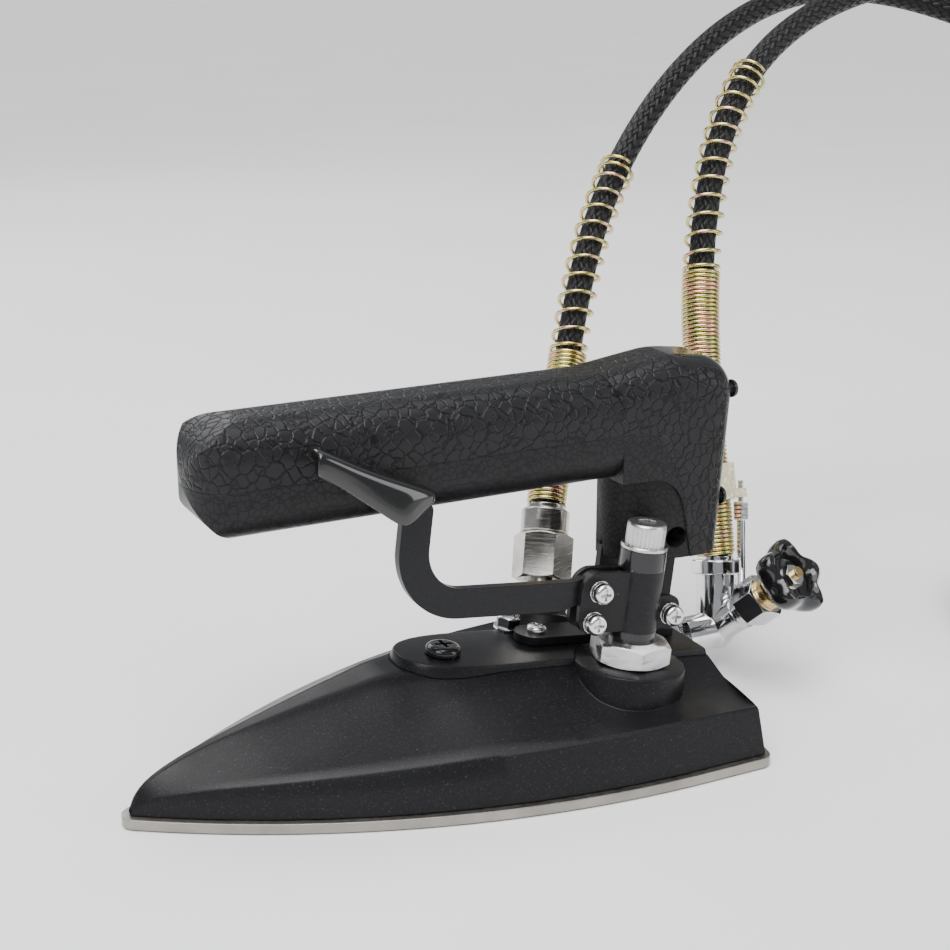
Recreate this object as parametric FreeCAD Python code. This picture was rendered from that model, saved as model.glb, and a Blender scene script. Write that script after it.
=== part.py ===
"""Industrial all-steam clothes iron with a thumb lever valve, a condensate valve and two hoses.

Frame: millimetres, +Z up, nose towards -X, the lever side of the iron towards -Y.
The origin lies on the ironing face of the sole plate, on its centre line, half way
along its straight length.  The chest and everything bolted to it (valve column,
lever, hose inlet, handle bracket) stand square to a deck that slopes down to the
rear, so those pieces are drawn in deck coordinates and placed by deck().
"""
import FreeCAD, Part
import math
import os

Vec = FreeCAD.Vector

# ---------------------------------------------------------------- driving sizes
HALF_LENGTH = 106.0      # nose tip and rear corners lie this far from the origin
HALF_WIDTH = 61.0        # sole plate, each side of the centre line
SHOULDER_X = 79.0        # the sides run straight from here to the rear
SIDE_RADIUS = 320.0      # long side arc from shoulder to nose
REAR_X = 113.0           # rear edge on the centre line
REAR_RADIUS = 266.0      # rear edge arc
SOLE_THICK = 4.0
GASKET_THICK = 0.8
COVER_GAP = 0.3          # cover's lower edge above the sole plate
COVER_INSET = 2.6        # cover's lower edge inside the sole's edge
COVER_WALL = 2.4

DECK_TILT = 7.0          # deck slopes down to the rear, degrees
DECK_X = 71.5            # foot of the valve column on the deck
DECK_Y = -21.0
DECK_Z = 31.6
BOSS_RADIUS = 20.0
INLET_BASE = (62.43, 27.27, 31.39)     # foot of the inlet fitting on the far flank
INLET_AXIS = (0.2944, 0.4091, 0.8637)   # it leans outward and back

GRIP_FRONT_X = -80.0
GRIP_HALF_WIDTH = 17.0
GRIP_TOP_Z = 132.0
GRIP_BOTTOM_Z = 94.5
PARTING_Z = 112.0
LEG_BOTTOM_Z = 64.0

HOSE_RADIUS = 5.0
GUARD_INNER = 5.3        # spring guard over the hose
GUARD_OUTER = 7.8
COIL_RADII = (56.0, 51.0)    # put-away hoses, middle of the turns
COIL_PITCH = 10.8
CONNECTOR_LEAD = 30.0
CONNECTOR_Z = 6.8
SOCKET_RADIUS = 5.0      # supply and return sockets in the hose ends

LEVER_THICK = 3.4
PIVOT = (-18.7, 27.5)    # lever pivot, deck x and z
STEM_PITCH = 1.25        # condensate valve spindle thread
SHAFT_CLEAR = 0.05       # radial clearance of a shaft in its bore

os.makedirs("parts", exist_ok=True)


# ---------------------------------------------------------------- helpers
def cylinder(radius, height, base=(0, 0, 0), direction=(0, 0, 1)):
    return Part.makeCylinder(radius, height, Vec(*base), Vec(*direction))


def cone(radius_low, radius_high, height, base=(0, 0, 0), direction=(0, 0, 1)):
    return Part.makeCone(radius_low, radius_high, height, Vec(*base), Vec(*direction))


def ring(inner, outer, height, base=(0, 0, 0), direction=(0, 0, 1)):
    return cylinder(outer, height, base, direction).cut(cylinder(inner, height, base, direction))


def box(x0, x1, y0, y1, z0, z1):
    return Part.makeBox(x1 - x0, y1 - y0, z1 - z0, Vec(x0, y0, z0))


def hexagon(across_flats, height, base=(0, 0, 0), direction=(0, 0, 1), twist=0.0):
    """A hexagonal prism with lightly turned corners at both ends."""
    corner = across_flats / math.sqrt(3.0)
    angles = [math.radians(60.0 * k + twist) for k in range(7)]
    wire = Part.makePolygon([Vec(corner * math.cos(a), corner * math.sin(a), 0) for a in angles])
    prism = Part.Face(wire).extrude(Vec(0, 0, height))
    lead = 0.12 * across_flats
    flat = across_flats / 2.0
    turned = cone(flat * 0.97, flat * 0.97 + 2.0 * lead, lead)
    turned = turned.fuse(cylinder(flat * 0.97 + 2.0 * lead, height - 2.0 * lead, (0, 0, lead)))
    turned = turned.fuse(cone(flat * 0.97 + 2.0 * lead, flat * 0.97, lead, (0, 0, height - lead)))
    prism = prism.common(turned)
    prism.Placement = FreeCAD.Placement(Vec(*base), FreeCAD.Rotation(Vec(0, 0, 1), Vec(*direction)))
    return prism


def fuse(first, *others):
    return first.multiFuse(list(others)).removeSplitter()


def cut(first, *others):
    return first.cut(others[0] if len(others) == 1 else others[0].multiFuse(list(others[1:])))


def profile_face(points, plane_y=0.0):
    """A closed outline in XZ.  A point is (x, z) or (x, z, radius) for a rounded corner."""
    count = len(points)
    entries, exits, arcs = [], [], []
    for i, point in enumerate(points):
        here = Vec(point[0], plane_y, point[1])
        if len(point) == 2:
            entries.append(here)
            exits.append(here)
            arcs.append(None)
            continue
        before = points[i - 1]
        after = points[(i + 1) % count]
        into = (Vec(before[0], plane_y, before[1]) - here).normalize()
        out = (Vec(after[0], plane_y, after[1]) - here).normalize()
        half = into.getAngle(out) / 2.0
        reach = point[2] / math.tan(half)
        middle_way = (into + out).normalize()
        centre = here + middle_way * (point[2] / math.sin(half))
        entries.append(here + into * reach)
        exits.append(here + out * reach)
        arcs.append(Part.Arc(entries[-1], centre - middle_way * point[2], exits[-1]).toShape())
    edges = []
    for i in range(count):
        if arcs[i]:
            edges.append(arcs[i])
        start, end = exits[i], entries[(i + 1) % count]
        if (end - start).Length > 1e-6:
            edges.append(Part.LineSegment(start, end).toShape())
    return Part.Face(Part.Wire(edges))


def slab(points, y0, y1):
    """An XZ outline pulled from y0 to y1."""
    return profile_face(points, y0).extrude(Vec(0, y1 - y0, 0))


def fillet(shape, radius, chosen):
    edges = [edge for edge in shape.Edges if chosen(edge)]
    return shape.makeFillet(radius, edges) if edges else shape


DECK = FreeCAD.Placement(Vec(DECK_X, DECK_Y, DECK_Z), FreeCAD.Rotation(Vec(0, 1, 0), DECK_TILT))


def deck(shape):
    """Moves a shape drawn in deck coordinates to its place on the iron."""
    placed = shape.copy()
    placed.Placement = DECK.multiply(placed.Placement)
    return placed


def deck_point(x, y, z):
    return DECK.multVec(Vec(x, y, z))


def at_inlet(shape):
    turn = FreeCAD.Rotation(Vec(0, 0, 1), Vec(*INLET_AXIS))
    shape.Placement = FreeCAD.Placement(Vec(*INLET_BASE), turn).multiply(shape.Placement)
    return shape


nodes = {}


def keep(name, *solids):
    shape = solids[0] if len(solids) == 1 else Part.makeCompound(list(solids))
    nodes[name] = shape


# ---------------------------------------------------------------- sole plan
def half_width(x, inset=0.0):
    """Half width of the sole's outline at x."""
    if x >= SHOULDER_X:
        return HALF_WIDTH - inset
    reach = (SIDE_RADIUS - inset) ** 2 - (SHOULDER_X - x) ** 2
    return HALF_WIDTH - SIDE_RADIUS + math.sqrt(reach)


def plan_prism(inset, z0, z1):
    """The sole's outline, drawn in by inset, between two heights."""
    height = z1 - z0
    offset = SIDE_RADIUS - HALF_WIDTH
    radius = SIDE_RADIUS - inset
    lens = cylinder(radius, height, (SHOULDER_X, -offset, z0))
    lens = lens.common(cylinder(radius, height, (SHOULDER_X, offset, z0)))
    lens = lens.common(box(-200, SHOULDER_X, -HALF_WIDTH, HALF_WIDTH, z0, z1))
    straight = box(SHOULDER_X, REAR_X + 5, inset - HALF_WIDTH, HALF_WIDTH - inset, z0, z1)
    rear = cylinder(REAR_RADIUS - inset, height, (REAR_X - REAR_RADIUS, 0, z0))
    return fuse(lens, straight).common(rear)


def is_upright(edge):
    return (isinstance(edge.Curve, Part.Line) and abs(edge.tangentAt(edge.FirstParameter).z) > 0.99)


def rounded_plan(inset, z0, z1, nose, corner):
    prism = plan_prism(inset, z0, z1)
    prism = fillet(prism, nose, lambda e: is_upright(e) and e.Vertexes[0].X < 0)
    return fillet(prism, corner, lambda e: is_upright(e) and e.Vertexes[0].X > SHOULDER_X + 5)


# ---------------------------------------------------------------- sole, gasket and chest
CHEST_NOSE_X = -66.0
CHEST_REAR_X = 98.0
CHEST_INSET = 10.0
CAVITY_INSET = 20.0
CHEST_TOP = 14.0
CHEST_SCREWS = [(-48, 0), (0, 33), (0, -33), (88, 44), (88, -44), (52, 0)]
NIPPLE_Y = 21.0          # condensate outlet, level with the rear valve
NIPPLE_Z = 15.0


def sole_plate():
    plate = rounded_plan(0.0, 0.0, SOLE_THICK, 5.0, 5.0)
    plate = plate.makeChamfer(0.7, [e for e in plate.Edges if e.BoundBox.ZMax < 0.01])
    holes = []
    for step in range(9):
        x = -44.0 + 15.0 * step
        for side in (-1, 1):
            holes.append(cylinder(1.25, SOLE_THICK, (x, side * (half_width(x) - 24.0), 0)))
    for x in (-62.0, -30.0, -10.0):
        holes.append(cylinder(1.25, SOLE_THICK, (x, 0, 0)))
    for x, y in CHEST_SCREWS:
        holes.append(cylinder(3.5, 3.6, (x, y, -0.6)))
        holes.append(cylinder(2.0, SOLE_THICK, (x, y, 0)))
    return cut(plate, *holes)


def chest_blank(inset, z0, z1):
    blank = plan_prism(inset, z0, z1)
    limit = inset - CHEST_INSET
    return blank.common(box(CHEST_NOSE_X + limit, CHEST_REAR_X - limit, -60, 60, z0, z1))


def chest_gasket():
    z0 = SOLE_THICK
    sheet = chest_blank(CHEST_INSET, z0, z0 + GASKET_THICK)
    window = chest_blank(CAVITY_INSET, z0, z0 + GASKET_THICK)
    posts = [cylinder(5.0, GASKET_THICK, (x, y, z0)) for x, y in CHEST_SCREWS]
    sheet = fuse(cut(sheet, window), *posts)
    return cut(sheet, *[cylinder(2.2, GASKET_THICK, (x, y, z0)) for x, y in CHEST_SCREWS])


def steam_chest():
    """Cast chest: open steam cavity below, tapped risers for both valves above."""
    z0 = SOLE_THICK + GASKET_THICK
    body = chest_blank(CHEST_INSET, z0, CHEST_TOP)
    risers = []
    for riser in (deck(cylinder(13.5, 30.0, (0, 0, -33.0))), at_inlet(cylinder(10.5, 30.0, (0, 0, -35.5)))):
        riser = riser.common(box(-200, 200, -200, 200, CHEST_TOP - 1.0, 60))
        risers.append(riser.common(plan_prism(COVER_INSET + 7.5, 2.0, 60.0)).common(rear_limit(COVER_WALL + 0.5)))
    outlet = cylinder(7.2, 14.0, (CHEST_REAR_X - 12.0, NIPPLE_Y, NIPPLE_Z), (1, 0, 0))
    outlet = outlet.common(box(-200, CHEST_REAR_X, -200, 200, z0, 60))
    bracket_posts = [deck(cylinder(5.0, 21.8, (x, y, -25.0))) for x, y in FOOT_SCREWS]
    bracket_posts.append(deck(cylinder(5.0, 17.0, (*COVER_NUT, -25.0))))
    bracket_posts = [p.common(box(-200, 200, -200, 200, CHEST_TOP - 1.0, 60)) for p in bracket_posts]
    cover_post = cylinder(4.5, 23.2, (COVER_SCREW_X, COVER_SCREW_Y, CHEST_TOP - 1.0))
    body = fuse(body, outlet, cover_post, *risers, *bracket_posts)
    cavity = chest_blank(CAVITY_INSET, z0, z0 + 5.0)
    posts = [cylinder(5.0, 5.0, (x, y, z0)) for x, y in CHEST_SCREWS]
    bores = [cylinder(2.0, 8.0, (x, y, z0)) for x, y in CHEST_SCREWS]
    bores.append(deck(cylinder(6.8, 24.0, (0, 0, -14.0))))
    bores.append(deck(cylinder(3.0, 30.0, (0, 0, -30.0))))
    bores.append(at_inlet(cylinder(5.1, 24.0, (0, 0, -15.0))))
    bores.append(at_inlet(cylinder(2.5, 24.0, (0, 0, -30.0))))
    bores.append(cylinder(5.0, 14.0, (CHEST_REAR_X - 10.0, NIPPLE_Y, NIPPLE_Z), (1, 0, 0)))
    bores.append(cylinder(2.5, 20.0, (CHEST_REAR_X - 22.0, NIPPLE_Y, NIPPLE_Z), (1, 0, 0)))
    bores += [deck(cylinder(2.0, 24.0, (x, y, -15.0))) for x, y in FOOT_SCREWS + [COVER_NUT]]
    bores.append(cylinder(1.8, 24.0, (COVER_SCREW_X, COVER_SCREW_Y, CHEST_TOP + 9.0)))
    return cut(body, cut(cavity, *posts), *bores)


def chest_screws():
    """Countersunk screws from the sole's face up into the chest."""
    screws = []
    for x, y in CHEST_SCREWS:
        shank = cylinder(1.9, 9.0, (x, y, SOLE_THICK - 1.0))
        screws.append(fuse(shank, cylinder(3.4, 1.4, (x, y, SOLE_THICK - 2.4))))
    return screws


# ---------------------------------------------------------------- cover shell
COVER_SCREW_X = 8.0
COVER_SCREW_Y = -3.0
FOOT_SCREWS = [(-24.0, 24.5), (8.0, 28.5), (22.0, 28.5)]      # bracket foot, deck x and y
COVER_NUT = (-28.3, 37.0)        # cap nut on the cover's far stud, deck x and y
SLOPE = math.tan(math.radians(DECK_TILT))
DECK_FRONT_X = -6.0              # rounded front end of the flat top


def deck_height(x):
    return DECK_Z - SLOPE * (x - DECK_X)


# stations from nose to rear: x, ridge height, crease height, half width of the flat top
COVER_STATIONS = [
    (-102.6, 6.4, 5.2, 0.3),
    (-100.6, 10.6, 7.2, 0.6),
    (-96.0, 15.2, 9.6, 0.9),
    (-88.0, 19.2, 12.0, 1.2),
    (-76.0, 23.4, 14.2, 1.6),
    (-54.0, 29.3, 16.6, 3.4),
    (-30.0, 34.8, 18.6, 6.0),
    (-12.0, 38.9, 19.8, 8.2),
    (2.0, None, 20.6, 12.4),
    (31.0, None, 21.3, 15.6),
    (70.0, None, 21.6, 16.5),
    (112.0, None, 20.4, 15.5),
]
BAND_DRAFT = 3.6                 # lower band leans in by this much at its top


def cover_section(station, shrink=0.0):
    x, ridge, crease, flat = station
    top = deck_height(x) if ridge is None else ridge
    low = SOLE_THICK + COVER_GAP
    base = max(half_width(x, COVER_INSET), 0.5)
    waist = max(base - BAND_DRAFT * (crease - low) / 17.0, 0.42)
    if shrink:
        low = SOLE_THICK - 2.0
        base = max(base - shrink, 0.2)
        waist = max(waist - 1.1 * shrink, 0.17)
        flat = max(flat - 0.5 * shrink, 0.1)
        top = top - 1.02 * shrink
        crease = max(min(crease - 0.5 * shrink, top - 0.4), low + 0.4)
    half = [(base, low), (waist, crease), (min(flat, 0.9 * waist), top)]
    points = [Vec(x, y, z) for y, z in half] + [Vec(x, -y, z) for y, z in reversed(half)]
    return Part.makePolygon(points + [points[0]])


def cover_blank(shrink=0.0):
    stations = COVER_STATIONS[3:] if shrink else COVER_STATIONS
    return Part.makeLoft([cover_section(s, shrink) for s in stations], True, True)


def rear_limit(inset):
    """Rear wall: a leaning convex face, so the cover narrows upwards at the back."""
    low = REAR_RADIUS - COVER_INSET - inset
    return cone(low + 1.0, low - 4.0, 40.0, (REAR_X - REAR_RADIUS, 0, 0))


def boss_pair(radius, z0, z1):
    posts = [deck(cylinder(radius, z1 - z0, (0, 0, z0))),
             at_inlet(cylinder(radius - 4.5, z1 - z0, (0, 0, z0 - 1.6)))]
    return posts[0].fuse(posts[1])


def cover_shell():
    outer = cover_blank().common(rear_limit(0.0))
    bosses = boss_pair(BOSS_RADIUS, -22.0, 0.0).common(plan_prism(COVER_INSET + 3.5, 8.0, 60.0))
    outer = fuse(outer, bosses.common(rear_limit(0.0)))
    inner = cover_blank(COVER_WALL).common(rear_limit(COVER_WALL))
    hollow = boss_pair(BOSS_RADIUS - COVER_WALL, -30.0, -COVER_WALL)
    hollow = hollow.common(plan_prism(COVER_INSET + 6.5, 2.0, 60.0)).common(rear_limit(COVER_WALL))
    shell = cut(outer, inner, hollow)
    holes = [deck(cylinder(7.4, 12.0, (0, 0, -8.0))),
             at_inlet(cylinder(5.6, 16.0, (0, 0, -10.0))),
             cylinder(2.3, 12.0, (COVER_SCREW_X, COVER_SCREW_Y, 33.0)),
             cylinder(7.4, 30.0, (CHEST_REAR_X - 12.0, NIPPLE_Y, NIPPLE_Z), (1, 0, 0))]
    holes += [deck(cylinder(2.5, 12.0, (x, y, -8.0))) for x, y in FOOT_SCREWS + [COVER_NUT]]
    return cut(shell, *holes)


def pan_head(radius, height, base, direction, socket=True):
    """A pan head standing on base, with a cross recess."""
    head = cylinder(radius, height, base, direction)
    rim = [e for e in head.Edges if isinstance(e.Curve, Part.Circle)
           and (e.Curve.Center - Vec(*base)).dot(Vec(*direction)) > height / 2]
    head = head.makeFillet(min(0.7 * height, 0.4 * radius), rim)
    if not socket:
        return head
    place = FreeCAD.Placement(Vec(*base), FreeCAD.Rotation(Vec(0, 0, 1), Vec(*direction)))
    long, wide = 0.55 * radius, 0.13 * radius
    slot = fuse(box(-long, long, -wide, wide, 0.45 * height, height + 1),
                box(-wide, wide, -long, long, 0.45 * height, height + 1))
    slot.Placement = place
    return head.cut(slot)


def screw(head_radius, head_height, shank_radius, shank_length, base, direction):
    """A pan head screw: the head stands on base, the shank goes the other way."""
    back = tuple(-c for c in direction)
    return fuse(pan_head(head_radius, head_height, base, direction),
                cylinder(shank_radius, shank_length, base, back))


def cover_screw():
    """Front cover screw, square to the deck, standing in the cover's post."""
    top = Vec(COVER_SCREW_X, COVER_SCREW_Y, deck_height(COVER_SCREW_X) + 0.35)
    tall = pan_head(6.2, 3.2, (0, 0, 0), (0, 0, 1))
    tall.Placement = FreeCAD.Placement(top, FreeCAD.Rotation(Vec(0, 1, 0), DECK_TILT)).multiply(tall.Placement)
    shank = cylinder(1.7, 16.0, (COVER_SCREW_X, COVER_SCREW_Y, top.z - 15.0))
    return fuse(tall, shank)


def cover_nut():
    """Chrome cap nut and its stud, through the cover into the chest."""
    x, y = COVER_NUT
    nut = fuse(hexagon(8.0, 4.0, (x, y, 0.8)), cylinder(5.2, 0.8, (x, y, 0.2)))
    dome = Part.makeSphere(3.4, Vec(x, y, 4.6)).common(cylinder(4.0, 5.0, (x, y, 4.6)))
    return deck(fuse(nut, dome, cylinder(1.9, 14.0, (x, y, -13.0))))


# ---------------------------------------------------------------- steam valve column
COLUMN_RADIUS = 8.1
BORE_RADIUS = 4.55
BODY_LOW, BODY_WAIST, BODY_NECK, BODY_TOP = 8.0, 12.0, 34.0, 41.0
CLAMP_INNER = 7.1
CHEEK_IN, CHEEK_OUT = 2.1, 4.2
LOWER_SCREW = (-19.9, 16.5)
REAR_SCREW = (11.2, 18.0)
CLAMP_SCREWS = [LOWER_SCREW, REAR_SCREW]
SHANK = 2.0


def base_nut():
    nut = hexagon(25.0, BODY_LOW - 0.2, (0, 0, 0.2), twist=14.0)
    return deck(nut.cut(cylinder(7.0, 20, (0, 0, -5))))


def valve_body():
    body = fuse(cylinder(6.75, 13.0, (0, 0, -13.0)),
                cylinder(6.95, BODY_LOW, (0, 0, 0)),
                cylinder(COLUMN_RADIUS, BODY_WAIST - BODY_LOW, (0, 0, BODY_LOW)),
                cylinder(CLAMP_INNER, BODY_NECK - BODY_WAIST, (0, 0, BODY_WAIST)),
                cylinder(COLUMN_RADIUS, BODY_TOP - BODY_NECK, (0, 0, BODY_NECK)))
    bore = cylinder(BORE_RADIUS, 60.0, (0, 0, -9.0))
    slot = box(-12, 0, -2.3, 2.3, 21.5, 33.0)
    return deck(cut(body, bore, slot))


def valve_seat():
    return deck(ring(2.6, BORE_RADIUS, 4.0, (0, 0, 6.0)))


def valve_plunger():
    """Disc on the seat, guide with a ring groove, and the collar that the lever lifts."""
    stem = fuse(cylinder(4.1, 3.4, (0, 0, 10.2)), cylinder(2.0, 18.0, (0, 0, 13.0)),
                cylinder(BORE_RADIUS - 0.1, 4.0, (0, 0, 15.0)),
                cylinder(4.3, 2.6, (0, 0, 27.6)), cylinder(1.8, 4.0, (0, 0, 30.2)))
    return deck(stem.cut(ring(3.2, 6.0, 1.5, (0, 0, 16.2))))


def plunger_ring():
    seal = Part.makeTorus(3.85, 0.6)
    seal.Placement.Base = Vec(0, 0, 16.95)
    return deck(seal)


def plunger_spring():
    return deck(ring(2.3, 3.9, 10.2, (0, 0, 30.4)))


def cap_washer():
    washer = ring(4.7, COLUMN_RADIUS + 0.1, 1.5, (0, 0, BODY_TOP))
    return deck(washer.makeChamfer(0.3, [e for e in washer.Edges if e.BoundBox.XLength > 14]))


def valve_cap():
    """Plug that holds the plunger spring: a fluted round head with a hexagon socket."""
    head = cylinder(6.8, 7.8, (0, 0, BODY_TOP + 1.5))
    head = head.makeFillet(1.1, [e for e in head.Edges if e.BoundBox.ZMin > BODY_TOP + 9])
    flutes = []
    for k in range(26):
        a = math.radians(360.0 / 26 * k)
        flutes.append(cylinder(0.42, 6.4, (6.95 * math.cos(a), 6.95 * math.sin(a), BODY_TOP + 1.5)))
    plug = ring(4.05, 4.5, 4.0, (0, 0, BODY_TOP - 3.6)).fuse(cylinder(4.5, 1.4, (0, 0, BODY_TOP + 0.2)))
    socket = hexagon(6.0, 9.0, (0, 0, BODY_TOP + 4.8))
    return deck(cut(fuse(head, plug), socket, *flutes))


def clamp_half(side):
    """Half of the lever's clamp: a band round the valve body with a cheek and a rear ear."""
    band = cylinder(COLUMN_RADIUS, BODY_NECK - BODY_WAIST, (0, 0, BODY_WAIST))
    y0, y1 = sorted((side * CHEEK_IN, side * CHEEK_OUT))
    cheek = slab([(-25.8, 34.3, 6.7), (-5.0, 33.6), (-5.0, 12.4), (-25.0, 12.4, 4.8)], y0, y1)
    ear = slab([(5.0, 24.4), (15.2, 24.4, 4.2), (15.2, 12.4, 3.6), (5.0, 12.4)], y0, y1)
    half = fuse(band.common(box(-20, 20, min(0, 20 * side), max(0, 20 * side), 0, 60)), cheek, ear)
    cuts = [cylinder(CLAMP_INNER, 60, (0, 0, 0)), box(-40, 40, -0.25, 0.25, 0, 60),
            box(-40, 0, -CHEEK_IN, CHEEK_IN, 21.0, 60)]
    for x, z in CLAMP_SCREWS + [PIVOT]:
        cuts.append(cylinder(SHANK + SHAFT_CLEAR, 20, (x, -10, z), (0, 1, 0)))
    return deck(cut(half, *cuts))


def clamp_spacers():
    width = 2 * CHEEK_IN - 0.1
    sizes = ((LOWER_SCREW, 3.2), (REAR_SCREW, 2.9))
    spacers = [ring(SHANK + SHAFT_CLEAR, r, width, (x, -width / 2, z), (0, 1, 0)) for (x, z), r in sizes]
    spacers[1] = spacers[1].cut(cylinder(COLUMN_RADIUS + 0.05, 60))
    return [deck(s) for s in spacers]


HEAD_Y = -(CHEEK_OUT + 2.2)      # under the screw heads, over both washers


def clamp_screw(place):
    x, z = place
    return deck(screw(3.7, 2.6, SHANK, 14.2, (x, HEAD_Y, z), (0, -1, 0)))


def flat_washers():
    return [deck(ring(SHANK + 0.1, 3.9, 0.8, (x, -CHEEK_OUT, z), (0, -1, 0)))
            for x, z in CLAMP_SCREWS + [PIVOT]]


def spring_washers():
    rings = []
    for x, z in CLAMP_SCREWS + [PIVOT]:
        washer = ring(SHANK + 0.1, 3.7, 1.2, (x, -CHEEK_OUT - 0.9, z), (0, -1, 0))
        rings.append(deck(washer.cut(box(x + 1.2, x + 6, -9, 0, z - 0.35, z + 0.35))))
    return rings


def clamp_nuts():
    nuts = []
    for x, z in CLAMP_SCREWS + [PIVOT]:
        nut = hexagon(7.0, 3.0, (x, CHEEK_OUT + 0.1, z), (0, 1, 0))
        nuts.append(deck(nut.cut(cylinder(SHANK, 20, (x, -10, z), (0, 1, 0)))))
    return nuts


# ---------------------------------------------------------------- lever
def lever_arm():
    """Flat bar cranked up beside the grip; its forked tail lies under the plunger's collar."""
    half = LEVER_THICK / 2.0
    bar = slab([(-94.2, 60.0, 3.0), (-94.2, 20.0, 24.0), (-31.0, 20.0), (-25.5, 22.0),
                (-24.0, 30.4), (-83.6, 30.2, 13.8), (-83.6, 60.0, 3.0)], -half, half)
    eye = cylinder(6.0, LEVER_THICK, (PIVOT[0], -half, PIVOT[1]), (0, 1, 0))
    neck = slab([(-28.0, 22.0), (-18.0, 22.0), (-18.0, 33.4), (-28.0, 30.3)], -half, half)
    tail = slab([(-18.0, 24.0), (2.6, 25.0, 0.8), (2.6, 27.3, 0.8), (-5.4, 27.3), (-9.0, 29.0),
                 (-14.0, 31.5), (-18.0, 31.5)], -half, half)
    lever = fuse(bar, eye, neck, tail)
    lever = cut(lever, cylinder(SHANK + SHAFT_CLEAR, 20, (PIVOT[0], -10, PIVOT[1]), (0, 1, 0)),
                box(-3.4, 6.0, -2.25, 2.25, 20, 30))
    prongs = [box(-5.0, 2.6, s * 3.35 - 0.85, s * 3.35 + 0.85, 25.0, 27.2) for s in (-1, 1)]
    prongs.append(box(-5.0, -3.0, -4.2, 4.2, 25.0, 27.2))
    prongs = [p.common(cylinder(BORE_RADIUS - 0.3, 40)) for p in prongs]
    return deck(fuse(lever, *prongs))


def paddle_section(x, top, inner, fold, apron, drop, thick):
    """Closed angle section of the thumb paddle: a top leg, a fold and an apron."""
    outline = [(inner, top), (fold, top), (apron, top - drop), (apron + thick, top - drop),
               (fold + 0.9 * thick, top - thick), (inner, top - thick)]
    points = [Vec(x, y, z) for y, z in outline]
    return Part.makePolygon(points + [points[0]])


def thumb_paddle():
    """Wing-shaped thumb plate: narrow at its front tip, opening to a folded apron at the lever."""
    sections = [paddle_section(-127.0, 78.2, -2.6, -6.4, -6.9, 2.4, 1.2),
                paddle_section(-113.0, 74.0, -1.4, -8.6, -10.0, 8.0, 2.2),
                paddle_section(-99.0, 69.4, -0.4, -9.0, -12.0, 14.5, 2.6),
                paddle_section(-90.0, 66.3, 0.4, -8.0, -9.5, 7.0, 2.6),
                paddle_section(-86.0, 64.8, 0.6, -5.6, -6.6, 3.0, 2.4)]
    wing = Part.makeLoft(sections, True, True)
    socket = slab([(-94.8, 68.0), (-94.8, 57.0), (-83.0, 57.0), (-83.0, 65.0, 3.0)], -3.6, 3.0)
    grip = fuse(wing, socket.cut(wing))
    return deck(grip).cut(nodes["lever_arm"])


# ---------------------------------------------------------------- steam inlet
NUT_LOW, NUT_HIGH, FERRULE_TOP, HOSE_START = 14.0, 31.2, 40.6, 42.5


def inlet_nipple():
    body = fuse(cylinder(5.05, 14.0, (0, 0, -14.0)), cylinder(5.4, 1.0, (0, 0, -0.6)),
                hexagon(15.0, 5.0, (0, 0, 0.3)),
                cylinder(6.3, 14.0, (0, 0, 5.0)), cone(6.3, 4.4, 3.6, (0, 0, 19.0)))
    return at_inlet(body.cut(cylinder(2.5, 60, (0, 0, -20))))


def inlet_swivel_nut():
    nut = hexagon(19.5, NUT_HIGH - NUT_LOW, (0, 0, NUT_LOW), twist=22.0)
    return at_inlet(cut(nut, cylinder(6.4, 12.4, (0, 0, NUT_LOW - 1)), cylinder(5.6, 40, (0, 0, 0))))


def inlet_ferrule():
    body = fuse(cylinder(5.5, 8.6, (0, 0, 22.8)), cylinder(9.1, FERRULE_TOP - NUT_HIGH - 0.3, (0, 0, NUT_HIGH + 0.3)),
                cylinder(7.2, HOSE_START - FERRULE_TOP, (0, 0, FERRULE_TOP)))
    body = body.makeChamfer(0.6, [e for e in body.Edges if e.BoundBox.XLength > 17])
    return at_inlet(body.cut(cylinder(2.5, 60, (0, 0, 0))))


# ---------------------------------------------------------------- condensate valve
JUNCTION = Vec(138.3, 21.0, 15.0)
RISER_AXIS = Vec(0.1292, 0.2622, 0.9563).normalize()
TURN_UP = FreeCAD.Rotation(Vec(0, 0, 1), RISER_AXIS)
WHEEL_FACE = Vec(151.6, -10.0, 46.2)         # middle of the handwheel's knuckles
SPINDLE = (WHEEL_FACE - JUNCTION).normalize()
TURN_OUT = FreeCAD.Rotation(Vec(0, 0, 1), SPINDLE)
RISER_TOP = 25.2
BARREL_END, BONNET_END, GLAND_END = 18.6, 29.3, 32.6
ROD_X = 11.8              # support rod beside the riser
WHEEL_BACK, WHEEL_FRONT = 35.6, 46.0


def at_spindle(shape):
    """Moves a shape drawn about +Z to the condensate valve's spindle axis."""
    shape.Placement = FreeCAD.Placement(JUNCTION, TURN_OUT).multiply(shape.Placement)
    return shape


def at_riser(shape):
    """Moves a shape drawn about +Z to the condensate valve's outlet axis."""
    shape.Placement = FreeCAD.Placement(JUNCTION, TURN_UP).multiply(shape.Placement)
    return shape


def outlet_nipple():
    reach = (CHEST_REAR_X - 9.0, NIPPLE_Y, NIPPLE_Z)
    pipe = fuse(cylinder(4.95, 36.9, reach, (1, 0, 0)),
                hexagon(14.0, 5.0, (113.0, NIPPLE_Y, NIPPLE_Z), (1, 0, 0)))
    return pipe.cut(cylinder(2.6, 60, (80, NIPPLE_Y, NIPPLE_Z), (1, 0, 0)))


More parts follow.
